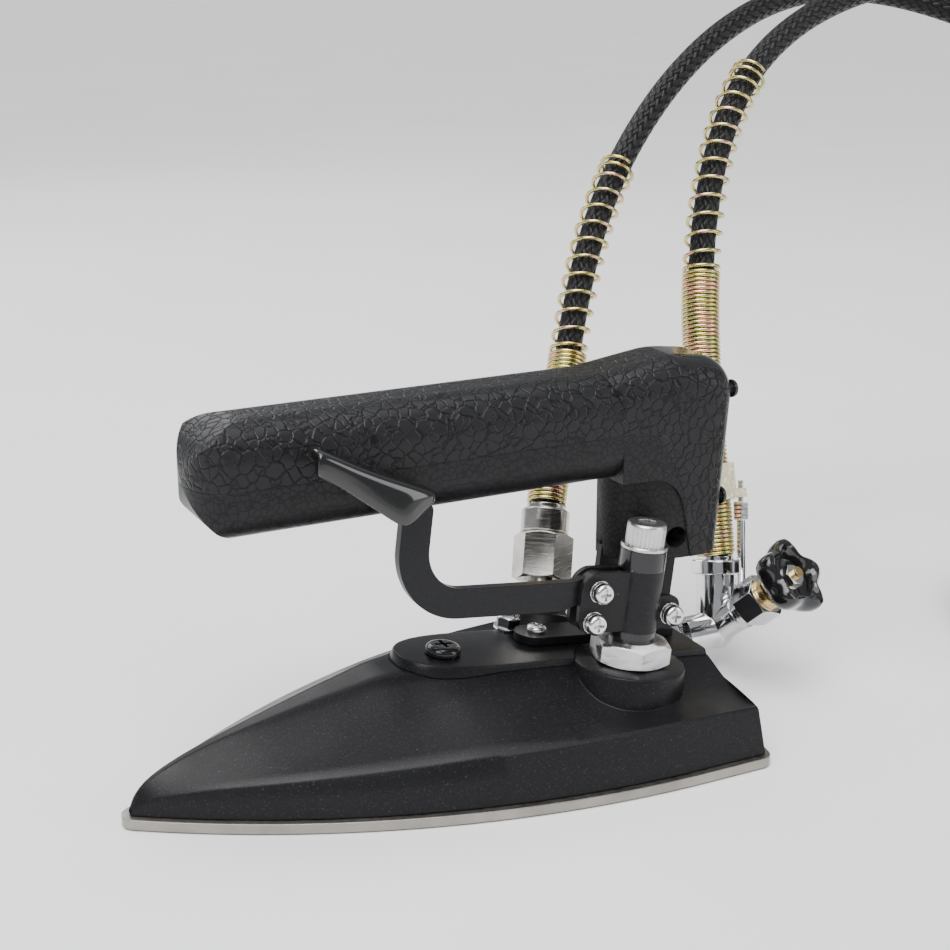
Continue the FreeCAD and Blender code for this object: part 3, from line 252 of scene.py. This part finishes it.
looks = {
    "sole_alloy": metal("sole_alloy_look", (0.34, 0.32, 0.29), 0.34,
                        (500, 500, 2500), 2e-5, 0.0006),
    "gasket": speckled("gasket_look", (0.10, 0.10, 0.10), 0.72),
    "cast_chest": metal("cast_chest_look", (0.50, 0.50, 0.49), 0.5, (400, 400, 400), 1e-4),
    "zinc_steel": metal("zinc_steel_look", (0.66, 0.65, 0.62), 0.24),
    "black_cover": speckled("black_cover_look", (0.008, 0.008, 0.009), 0.33,
                            (0.035, 0.035, 0.038), 0.66, 1500, 1.4e-4),
    "black_screw": speckled("black_screw_look", (0.013, 0.013, 0.014), 0.16, coat=0.5, height=1e-5),
    "bright_chrome": metal("bright_chrome_look", (0.83, 0.83, 0.84), 0.06, (160, 160, 1700), 6e-6),
    "sealed_nut": thread_tape(),
    "black_column": speckled("black_column_look", (0.010, 0.010, 0.011), 0.15,
                             (0.26, 0.26, 0.27), 0.76, 1100, 2e-5, coat=0.6),
    "brass": metal("brass_look", (0.76, 0.56, 0.26), 0.22, (200, 200, 2200)),
    "seal_rubber": speckled("seal_rubber_look", (0.022, 0.022, 0.022), 0.55),
    "spring_steel": metal("spring_steel_look", (0.62, 0.62, 0.61), 0.22),
    "satin_cap": metal("satin_cap_look", (0.70, 0.70, 0.69), 0.30, (1500, 1500, 90), 4e-5),
    "black_clamp": speckled("black_clamp_look", (0.010, 0.010, 0.011), 0.32,
                            (0.20, 0.20, 0.21), 0.74, 1300),
    "chrome_screw": metal("chrome_screw_look", (0.76, 0.76, 0.77), 0.13,
                          (600, 600, 600), 1e-5, 0.0003),
    "black_lever": speckled("black_lever_look", (0.010, 0.010, 0.012), 0.29,
                            (0.18, 0.18, 0.19), 0.76, 1200),
    "gloss_paddle": speckled("gloss_paddle_look", (0.006, 0.006, 0.006), 0.09,
                             (0.10, 0.10, 0.10), 0.84, 900, 6e-6, coat=1.0),
    "nickel": metal("nickel_look", (0.62, 0.60, 0.56), 0.20, (70, 70, 1900), 2.5e-5, 0.0006, 0.6),
    "wheel_black": speckled("wheel_black_look", (0.008, 0.008, 0.009), 0.12,
                            (0.14, 0.14, 0.14), 0.80, 900, 1e-5, coat=0.8),
    "bright_nut": metal("bright_nut_look", (0.78, 0.77, 0.74), 0.14),
    "grip_black": leather("grip_black_look", (0.011, 0.011, 0.012), 0.33, 270.0, 2.2e-4),
    "lower_black": leather("lower_black_look", (0.010, 0.010, 0.011), 0.38, 420.0, 0.7e-4),
    "plate_black": speckled("plate_black_look", (0.012, 0.012, 0.013), 0.20,
                            (0.12, 0.12, 0.12), 0.80, 1000, 2e-5, coat=0.4),
    "clip_ivory": speckled("clip_ivory_look", (0.70, 0.62, 0.44), 0.42,
                           (0.80, 0.74, 0.60), 0.70, 500),
    "hose_braid": braid(),
    "yellow_zinc": yellow_zinc(),
}
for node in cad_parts.values():
    for material_slot in node.material_slots:
        material_slot.material = looks[material_slot.material.name.split(".")[0]]


# ---------------------------------------------------------------- hoses and their spring guards
MM = 0.001
INLET_ROUTE = [
    (74.9, 44.7, 68.1), (83.6, 54.4, 88.3), (93.8, 65.2, 109.5), (104.2, 76.4, 132.5),
    (117.0, 87.9, 156.2), (133.0, 99.6, 177.5), (153.5, 111.0, 198.0), (177.5, 121.5, 217.0),
    (205.0, 131.0, 233.0), (236.0, 139.5, 244.5), (267.0, 144.0, 249.5), (298.0, 143.0, 248.0),
    (326.0, 132.0, 241.0), (346.0, 111.0, 230.0), (357.0, 84.0, 217.0), (362.0, 55.0, 203.0),
    (363.0, 26.0, 187.0), (361.0, -3.0, 170.0), (357.0, -31.0, 151.0), (346.0, -57.0, 131.0),
    (327.0, -77.1, 112.0), (298.6, -86.1, 95.3), (269.4, -78.2, 79.4), (249.5, -56.8, 63.6),
    (243.4, -27.5, 49.4), (252.3, 2.3, 39.5),
]
OUTLET_ROUTE = [
    (141.9, 28.4, 42.1), (143.2, 35.5, 67.0), (144.6, 43.2, 92.5), (147.2, 51.6, 117.5),
    (151.9, 60.9, 144.3), (160.1, 71.2, 169.6), (173.0, 82.2, 195.0), (191.0, 92.5, 217.0),
    (214.0, 100.5, 233.0), (243.0, 108.0, 244.5), (275.0, 112.0, 252.0), (308.0, 113.0, 255.0),
    (341.0, 111.0, 253.0), (374.0, 104.0, 247.0), (405.0, 92.0, 238.0), (432.0, 74.0, 226.0),
    (452.0, 50.0, 213.0), (464.0, 22.0, 199.0), (471.0, -8.0, 183.0), (475.0, -38.0, 163.0),
    (470.0, -66.0, 141.0), (452.1, -88.6, 118.2), (423.6, -100.0, 100.4), (395.0, -93.5, 81.2),
    (375.5, -72.4, 62.5), (369.8, -42.4, 47.7), (378.8, -11.8, 39.5),
]
COIL_PITCH = 10.8
LEAD = 30.0
LEAD_Z = 6.8
HOSE_RADIUS = 0.005
HOSE_SIDES = 28
HOSE_STEP = 0.0022          # between rings of the hose mesh
TURN_POINTS = 20


def coil_points(route, centre, radius):
    """Turns of the put-away hose, clockwise from above, down to the surface and into the connector."""
    first = math.atan2(route[-1][1] - centre[1], route[-1][0] - centre[0])
    sweep = 3.0 * 2.0 * math.pi + (first - math.pi / 2.0) % (2.0 * math.pi)
    count = int(sweep / (2.0 * math.pi) * TURN_POINTS)
    points = []
    for i in range(1, count + 1):
        gone = sweep * i / count
        height = max(LEAD_Z, route[-1][2] - COIL_PITCH * gone / (2.0 * math.pi))
        angle = first - gone
        points.append((centre[0] + radius * math.cos(angle), centre[1] + radius * math.sin(angle), height))
    return points + [(centre[0] + LEAD * part, centre[1] + radius, LEAD_Z) for part in (0.4, 0.7, 1.0)]


def hose_line(name, route, centre, radius):
    data = bpy.data.curves.new(name, "CURVE")
    data.dimensions = "3D"
    data.resolution_u = 8
    spline = data.splines.new("NURBS")
    control = route + coil_points(route, centre, radius)
    spline.points.add(len(control) - 1)
    for point, place in zip(spline.points, control):
        point.co = (*[c * MM for c in place], 1.0)
    spline.order_u = 3
    spline.use_endpoint_u = True
    guide = bpy.data.objects.new(name, data)
    bpy.context.scene.collection.objects.link(guide)
    line = bpy.data.meshes.new_from_object(guide)
    points = [v.co.copy() for v in line.vertices]
    bpy.data.objects.remove(guide)
    return points


class Line:
    """A path with its arc length and a frame that doesn't twist along it."""

    def __init__(self, points):
        self.points = points
        self.reach = [0.0]
        for a, b in zip(points, points[1:]):
            self.reach.append(self.reach[-1] + (b - a).length)
        self.tangents = [(points[min(i + 1, len(points) - 1)] - points[max(i - 1, 0)]).normalized()
                         for i in range(len(points))]
        side = self.tangents[0].cross(Vector((0.0, 0.0, 1.0)))
        side = (side if side.length > 0.01 else Vector((1.0, 0.0, 0.0))).normalized()
        self.sides = []
        for tangent in self.tangents:
            side = (side - tangent * side.dot(tangent)).normalized()
            self.sides.append(side)

    def at(self, distance):
        i = min(max(bisect.bisect_right(self.reach, distance) - 1, 0), len(self.points) - 2)
        part = (distance - self.reach[i]) / (self.reach[i + 1] - self.reach[i])
        tangent = self.tangents[i].lerp(self.tangents[i + 1], part).normalized()
        side = self.sides[i].lerp(self.sides[i + 1], part)
        side = (side - tangent * side.dot(tangent)).normalized()
        return self.points[i].lerp(self.points[i + 1], part), side, tangent.cross(side)

    def where_height(self, height):
        return next(s for s, p in zip(self.reach, self.points) if p.z >= height)


def add_piece(name, vertices, faces, look, slot, body=BODY, smooth=True):
    mesh = bpy.data.meshes.new(name)
    mesh.from_pydata(vertices, [], faces)
    mesh.materials.append(looks[look])
    mesh.polygons.foreach_set("use_smooth", [smooth] * len(mesh.polygons))
    mesh.update()
    piece = bpy.data.objects.new(name, mesh)
    bpy.context.scene.collection.objects.link(piece)
    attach(piece, body)
    return piece


def tube_mesh(line, distances, radius, sides):
    vertices, faces = [], []
    for distance in distances:
        centre, side, other = line.at(distance)
        for k in range(sides):
            angle = 2.0 * math.pi * k / sides
            vertices.append(centre + radius * (math.cos(angle) * side + math.sin(angle) * other))
    rows = len(distances)
    for r in range(rows - 1):
        for k in range(sides):
            a, b = r * sides + k, r * sides + (k + 1) % sides
            faces.append((a, b, b + sides, a + sides))
    faces.append(tuple(reversed(range(sides))))
    faces.append(tuple(range((rows - 1) * sides, rows * sides)))
    return vertices, faces


def hose_piece(name, line, nodes):
    sides = HOSE_SIDES
    rows = int(line.reach[-1] / HOSE_STEP) + 1
    distances = [line.reach[-1] * r / (rows - 1) for r in range(rows)]
    vertices, faces = tube_mesh(line, distances, HOSE_RADIUS, sides)
    piece = add_piece(name, vertices, faces, "hose_braid", "hose_braid")
    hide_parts(*nodes)
    uv = piece.data.uv_layers.new(name="turn_and_length")
    for polygon in piece.data.polygons:
        if len(polygon.vertices) != 4:
            continue
        row, k = divmod(polygon.index, sides)
        for loop, (dk, dr) in zip(polygon.loop_indices, ((0, 0), (1, 0), (1, 1), (0, 1))):
            across = (k + dk) / sides * BRAID_CARRIERS
            uv.data[loop].uv = (across, distances[row + dr] / BRAID_PITCH / 2.0)
    return piece


WIRE = 0.00075
SPRING_RADIUS = 0.00685
SPRING_STEPS = 18           # points per turn of wire
SPRING_START = 0.0004
CLOSED_PITCH, OPEN_PITCH = 0.00162, 0.0075
OPENING, CLOSING = 0.006, 0.010     # lengths over which the turns spread and draw in


def spring_points(line, begin, end, closed_to):
    """Helix about the line: touching turns at first, then open ones, the last drawn together again."""
    points, turn, distance = [], 0.0, begin
    while distance < end:
        centre, side, other = line.at(distance)
        angle = 2.0 * math.pi * turn
        points.append(centre + SPRING_RADIUS * (math.cos(angle) * side + math.sin(angle) * other))
        blend = min(1.0, max(0.0, (distance - closed_to) / OPENING))
        tail = min(1.0, max(0.25, (end - distance) / CLOSING))
        distance += (CLOSED_PITCH + (OPEN_PITCH - CLOSED_PITCH) * blend * tail) / SPRING_STEPS
        turn += 1.0 / SPRING_STEPS
    return points


def wire_piece(name, points, wire, look, slot, body, nodes):
    line = Line(points)
    vertices, faces = tube_mesh(line, line.reach, wire, 8)
    piece = add_piece(name, vertices, faces, look, slot, body)
    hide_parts(*nodes)
    return piece


def add_hose(key, route, centre, radius, closed_height, top_height):
    """One hose from its ferrule to its connector, with the spring guard round its first stretch."""
    line = Line(hose_line(key + "_line", route, centre, radius))
    hose = hose_piece(key + "_hose_braided", line, [key + "_hose", key + "_hose_coil"])
    top, closed_top = (line.where_height(height * MM) for height in (top_height, closed_height))
    points = spring_points(line, SPRING_START, top, closed_top)
    guard = wire_piece(key + "_guard_wire", points, WIRE, "yellow_zinc", "yellow_zinc", BODY,
                       [key + "_spring_guard"])


add_hose("inlet", INLET_ROUTE, (302.0, -24.0), 56.0, 117.0, 184.0)
add_hose("outlet", OUTLET_ROUTE, (424.0, -36.0), 51.0, 144.0, 219.0)


# ---------------------------------------------------------------- cover
DECK_SLOPE = math.tan(math.radians(7.0))
DECK_ORIGIN = Vector((71.5, -21.0, 31.6))
DECK_LONG = Vector((math.cos(math.radians(7.0)), 0.0, -math.sin(math.radians(7.0))))
DECK_UP = Vector((math.sin(math.radians(7.0)), 0.0, math.cos(math.radians(7.0))))
COVER_STATIONS = [      # x, top, crease height, half width of the top facet
    (-102.6, 6.4, 5.2, 0.3), (-100.6, 10.4, 7.0, 0.6), (-96.0, 14.8, 9.6, 0.9), (-88.0, 19.0, 12.0, 1.1),
    (-76.0, 23.3, 14.2, 1.5), (-54.0, 29.2, 16.6, 3.4), (-30.0, 34.6, 18.6, 6.0), (-12.0, 37.6, 19.8, 8.4),
    (2.0, 37.6, 20.6, 12.4), (31.0, 34.6, 21.3, 16.4), (70.0, 29.6, 21.6, 17.5), (112.0, 24.4, 20.4, 16.5)]
COVER_LOW = 4.3
REAR_ARC_X = -153.0


def deck_point(x, y, z):
    return DECK_ORIGIN + DECK_LONG * x + Vector((0.0, y, 0.0)) + DECK_UP * z


def station_at(x, column):
    """Smooth value of one station column at x, with no overshoot between stations."""
    rows = [(s[0], s[column]) for s in COVER_STATIONS]
    i = min(max(bisect.bisect_right([r[0] for r in rows], x) - 1, 0), len(rows) - 2)

    def slope(k):
        if k in (0, len(rows) - 1):
            return (rows[min(k + 1, len(rows) - 1)][1] - rows[max(k - 1, 0)][1]) / \
                (rows[min(k + 1, len(rows) - 1)][0] - rows[max(k - 1, 0)][0])
        before = (rows[k][1] - rows[k - 1][1]) / (rows[k][0] - rows[k - 1][0])
        after = (rows[k + 1][1] - rows[k][1]) / (rows[k + 1][0] - rows[k][0])
        return 0.0 if before * after <= 0 else 2.0 * before * after / (before + after)

    (x0, v0), (x1, v1) = rows[i], rows[i + 1]
    h = x1 - x0
    t = min(max((x - x0) / h, 0.0), 1.0)
    return (v0 * (1 + 2 * t) * (1 - t) ** 2 + v1 * t * t * (3 - 2 * t)
            + slope(i) * h * t * (1 - t) ** 2 - slope(i + 1) * h * t * t * (1 - t))


def cover_half_width(x):
    if x >= 79.0:
        return 58.4
    return -259.0 + math.sqrt(317.4 ** 2 - (79.0 - x) ** 2)


def rear_x(y, z):
    """The rear wall leans inward and bows outward."""
    return REAR_ARC_X + math.sqrt((264.4 - 0.125 * z) ** 2 - y * y)


def cover_half_section(x):
    """Lane points (y, z) from the lower edge over the crease and the flank to the middle."""
    base = max(cover_half_width(x), 0.5)
    top, crease, flat = (station_at(x, c) for c in (1, 2, 3))
    waist = max(base - 3.6 * (crease - COVER_LOW) / 17.0, 0.45)
    flat = min(flat, 0.9 * waist)
    lanes = [(base, COVER_LOW), (base + (waist - base) * 0.5, (COVER_LOW + crease) / 2)]
    lanes += [(base + (waist - base) * 0.95, COVER_LOW + (crease - COVER_LOW) * 0.95)]
    rise, run = top - crease, waist - flat
    hollow = 1.3 * min(1.0, max(0.0, (x + 80.0) / 60.0)) + 2.6 * min(1.0, max(0.0, (x - 5.0) / 45.0))
    for u in (0.03, 0.15, 0.3, 0.45, 0.6, 0.75, 0.88, 0.97):
        sag = hollow * math.sin(math.pi * u)
        lanes.append((waist - run * u, crease + rise * u - sag))
    return lanes + [(flat * 0.93, top - 0.02), (flat * 0.5, top), (0.0, top)]


def cover_mesh():
    """Top and flanks as a grid from nose to rear, then the rear wall and the flat underside."""
    faces = []
    steps, lanes = 110, len(cover_half_section(0.0))
    nose = COVER_STATIONS[0][0]
    grid = []
    for i in range(steps + 1):
        part = (i / steps) ** 1.35      # closer rows at the nose
        row = []
        for k in range(lanes):
            y, z = cover_half_section(90.0)[k]
            for _ in range(3):
                y, z = cover_half_section(rear_x(y, z))[k]
            x = nose + (rear_x(y, z) - nose) * part
            row.append((x, *cover_half_section(x)[k]))
        row += [(x, -y, z) for x, y, z in reversed(row[:-1])]
        grid.append(row)
    wide = len(grid[0])
    vertices = [Vector(p) * MM for row in grid for p in row]
    for i in range(steps):
        for k in range(wide - 1):
            a = i * wide + k
            faces.append((a, a + 1, a + wide + 1, a + wide))
    last = grid[-1]
    across, start = 20, len(vertices)
    for k in range(lanes):
        y, z = last[k][1], last[k][2]
        for j in range(across + 1):
            here = y * (1.0 - 2.0 * j / across)
            vertices.append(Vector((rear_x(here, z), here, z)) * MM)
    for k in range(lanes - 1):
        for j in range(across):
            a = start + k * (across + 1) + j
            faces.append((a, a + across + 1, a + across + 2, a + 1))
    near_edge = [i * wide for i in range(steps + 1)]
    far_edge = [i + wide - 1 for i in reversed(near_edge)]
    faces.append(tuple(near_edge + far_edge))
    return vertices, faces


def plateau_mesh():
    """The raised flat deck: rounded front, small scarp that flares into the flanks."""
    rings = ((-1.6, -0.15), (-0.6, -0.3), (-0.1, -1.0), (0.4, -2.8), (1.2, -4.6), (2.2, -7.0), (2.4, -11.0))
    count, vertices, faces = 64, [], []
    for out, down in rings:
        for j in range(count + 1):
            angle = math.pi * (j / count) - math.pi / 2.0
            bend = math.copysign(abs(math.sin(angle)) ** 0.8, angle)
            y = (16.6 + out) * bend
            x = 22.0 - (30.0 + out) * math.cos(angle) ** 0.8 if abs(angle) < math.pi / 2 else 22.0
            vertices.append(Vector((x, y, 31.6 - DECK_SLOPE * (x - 71.5) + down)) * MM)
        for x_part in (0.35, 0.7, 1.0):
            for sign in (1, -1):
                y = sign * (16.6 + out)
                z = 31.6 - DECK_SLOPE * (60.0 - 71.5) + down      # height half way along the deck
                x = 22.0 + (rear_x(y, z - 5.0) - 0.3 - 22.0) * x_part
                vertices.append(Vector((x, y, 31.6 - DECK_SLOPE * (x - 71.5) + down)) * MM)
    size = count + 7
    order = [count + 6, count + 4, count + 2, *range(count + 1), count + 1, count + 3, count + 5]
    for r in range(len(rings) - 1):
        for a, b in zip(order, order[1:]):
            faces.append((r * size + a, (r + 1) * size + a, (r + 1) * size + b, r * size + b))
    faces.append(tuple(order))
    faces.append(tuple(r * size + order[0] for r in range(len(rings))) +
                 tuple(r * size + order[-1] for r in reversed(range(len(rings)))))
    return vertices, faces


def turned(profile, place, sides=72):
    """A solid of revolution: profile of (radius, height), place(x, y, z) gives the point."""
    vertices, faces = [], []
    for radius, height in profile:
        for k in range(sides):
            angle = 2.0 * math.pi * k / sides
            vertices.append(place(radius * math.cos(angle), radius * math.sin(angle), height) * MM)
    for r in range(len(profile) - 1):
        for k in range(sides):
            a, b = r * sides + k, r * sides + (k + 1) % sides
            faces.append((a, b, b + sides, a + sides))
    faces.append(tuple(reversed(range(sides))))
    faces.append(tuple((len(profile) - 1) * sides + k for k in range(sides)))
    return vertices, faces


INLET_BASE = Vector((62.43, 27.27, 31.39))
INLET_AXIS = Vector((0.2944, 0.4091, 0.8637)).normalized()
INLET_TURN = Vector((0.0, 0.0, 1.0)).rotation_difference(INLET_AXIS)


def inlet_point(x, y, z):
    return INLET_BASE + INLET_TURN @ Vector((x, y, z))


def merged(*meshes):
    vertices, faces = [], []
    for some, others in meshes:
        faces += [tuple(i + len(vertices) for i in face) for face in others]
        vertices += some
    return vertices, faces


def crease(piece, degrees=32.0):
    piece.data.set_sharp_from_angle(angle=math.radians(degrees))


boss = turned([(20.6, -20.0), (20.1, -1.4), (19.7, -0.5), (18.8, -0.05)], deck_point)
inlet_boss = turned([(16.0, -18.0), (15.5, -1.2), (15.1, -0.4), (14.3, 0.0)], inlet_point)
cover = add_piece("cover_moulding", *merged(cover_mesh(), plateau_mesh(), boss, inlet_boss),
                  "black_cover", "black_cover")
crease(cover)
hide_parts("cover_shell")

# ---------------------------------------------------------------- thumb paddle
PADDLE_SECTIONS = [     # deck x, top height, inner y, fold y, apron y, drop, thickness
    (-127.8, 77.9, -2.2, -7.6, -8.0, 5.6, 2.2), (-127.5, 78.5, -1.0, -8.6, -9.2, 7.2, 2.8),
    (-126.0, 78.6, -0.6, -9.2, -9.9, 8.0, 3.0), (-119.0, 76.0, -1.0, -9.2, -10.2, 8.8, 2.6),
    (-113.0, 73.6, -1.3, -9.0, -10.6, 10.0, 2.4), (-106.0, 71.1, -0.9, -9.1, -11.3, 12.0, 2.6),
    (-99.0, 69.0, -0.4, -9.1, -12.0, 14.2, 2.8),
    (-95.5, 68.0, -0.2, -9.0, -11.6, 13.4, 2.8), (-91.0, 66.7, 0.3, -8.3, -9.8, 8.2, 2.8),
    (-87.0, 65.4, 0.6, -7.0, -7.8, 4.0, 2.6), (-85.6, 64.9, 0.6, -6.0, -6.6, 3.1, 2.3)]


def paddle_mesh():
    vertices, faces = [], []
    for x, top, inner, fold, apron, drop, thick in PADDLE_SECTIONS:
        outline = ((inner, top), (0.5 * (inner + fold), top + 0.5), (fold, top - 0.4),
                   (0.5 * (fold + apron), top - 0.5 * drop), (apron, top - drop),
                   (apron + thick, top - drop), (fold + thick, top - thick), (inner, top - thick))
        for y, z in outline:
            vertices.append(deck_point(x, y, z) * MM)
    for r in range(len(PADDLE_SECTIONS) - 1):
        for k in range(8):
            a, b = r * 8 + k, r * 8 + (k + 1) % 8
            faces.append((a, b, b + 8, a + 8))
    faces.append(tuple(reversed(range(8))))
    faces.append(tuple(range(len(vertices) - 8, len(vertices))))
    return vertices, faces


paddle = add_piece("paddle_moulding", *paddle_mesh(), "gloss_paddle", "gloss_paddle", "lever")
paddle.modifiers.new("rounding", "SUBSURF").levels = 3
paddle.modifiers["rounding"].render_levels = 3
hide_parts("thumb_paddle")


# ---------------------------------------------------------------- plunger spring
COIL_TURNS, COIL_STEPS = 6, 18
coil_path = []
for step in range(COIL_TURNS * COIL_STEPS + 1):
    angle = 2.0 * math.pi * step / COIL_STEPS
    height = 30.9 + 9.2 * step / (COIL_TURNS * COIL_STEPS)
    coil_path.append(deck_point(3.1 * math.cos(angle), 3.1 * math.sin(angle), height) * MM)
plunger_wire = wire_piece("plunger_wire", coil_path, 0.0004, "spring_steel", "spring_steel", BODY,
                          ["plunger_spring"])
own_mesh(plunger_wire)

# ---------------------------------------------------------------- handwheel
VALVE_CENTRE = Vector((138.3, 21.0, 15.0))
SPINDLE_TURN = Vector((0.0, 0.0, 1.0)).rotation_difference(Vector((151.6, -10.0, 46.2)) - VALVE_CENTRE)
WHEEL_PROFILE = [       # radius, height along the spindle, share of the lobes
    (2.2, 41.4, 0.0), (6.4, 41.3, 0.0), (8.3, 41.9, 0.0), (9.0, 44.4, 0.3), (10.0, 45.9, 0.7),
    (11.7, 46.6, 1.0), (13.3, 45.7, 1.1), (14.0, 43.6, 1.1), (13.9, 40.8, 1.0), (12.9, 38.4, 0.8),
    (10.8, 36.6, 0.4), (7.0, 35.7, 0.0), (2.2, 35.6, 0.0)]
WHEEL_SIDES = 120


def wheel_mesh():
    vertices, faces = [], []
    for radius, height, share in WHEEL_PROFILE:
        for k in range(WHEEL_SIDES):
            angle = 2.0 * math.pi * k / WHEEL_SIDES
            wave = math.cos(5.0 * (angle - math.radians(18.0)))
            reach = radius + share * (1.5 * wave - 0.3)
            point = Vector((reach * math.cos(angle), reach * math.sin(angle), height + 0.35 * share * wave))
            vertices.append((VALVE_CENTRE + SPINDLE_TURN @ point) * MM)
    rows = len(WHEEL_PROFILE)
    for r in range(rows):
        for k in range(WHEEL_SIDES):
            here, above = r * WHEEL_SIDES, ((r + 1) % rows) * WHEEL_SIDES
            beside = (k + 1) % WHEEL_SIDES
            faces.append((here + k, above + k, above + beside, here + beside))
    return vertices, faces


knob = add_piece("wheel_moulding", *wheel_mesh(), "wheel_black", "wheel_black", "wheel")
crease(knob, 50.0)
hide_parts("handwheel")


# ---------------------------------------------------------------- floor and light
def add_floor():
    span = 14.0
    mesh = bpy.data.meshes.new("floor")
    corners = [(-span, -span, 0), (span, -span, 0), (span, span, 0), (-span, span, 0)]
    mesh.from_pydata(corners, [], [(0, 1, 2, 3)])
    look = Look("floor_look")
    look.colour(look.ramp(look.noise(3.0), [(0.3, (0.87, 0.87, 0.87)), (0.7, (0.90, 0.90, 0.90))]))
    look.roughness(look.noise(9.0), 0.5, 0.62)
    mesh.materials.append(look.material)
    floor = bpy.data.objects.new("floor", mesh)
    bpy.context.scene.collection.objects.link(floor)


def add_light(name, place, target, size, power, tone=(1.0, 1.0, 1.0)):
    data = bpy.data.lights.new(name, "AREA")
    data.shape = "RECTANGLE"
    data.size, data.size_y = size
    data.energy = power
    data.color = tone
    light = bpy.data.objects.new(name, data)
    light.location = place
    light.rotation_euler = (Vector(target) - Vector(place)).to_track_quat("-Z", "Y").to_euler()
    bpy.context.scene.collection.objects.link(light)


add_floor()
add_light("key_light", (-0.75, -0.55, 0.95), (0.02, 0.0, 0.07), (0.7, 0.7), 7.0)
add_light("top_light", (0.1, 0.15, 1.25), (0.05, 0.0, 0.0), (1.0, 0.8), 7.0)
add_light("side_light", (1.05, -0.75, 0.55), (0.1, 0.0, 0.08), (0.5, 0.9), 5.0)
add_light("back_light", (-0.2, 1.2, 0.8), (0.05, 0.0, 0.1), (1.2, 0.6), 6.0)
sun = bpy.data.lights.new("sky_light", "SUN")
sun.energy = 3.0
sun.angle = math.radians(40.0)
sky = bpy.data.objects.new("sky_light", sun)
sky.rotation_euler = (math.radians(18.0), math.radians(-14.0), 0.0)
bpy.context.scene.collection.objects.link(sky)
world = bpy.data.worlds.new("studio")
world.use_nodes = True
world.node_tree.nodes["Background"].inputs["Color"].default_value = (0.93, 0.95, 1.0, 1.0)
world.node_tree.nodes["Background"].inputs["Strength"].default_value = 0.42
bpy.context.scene.world = world
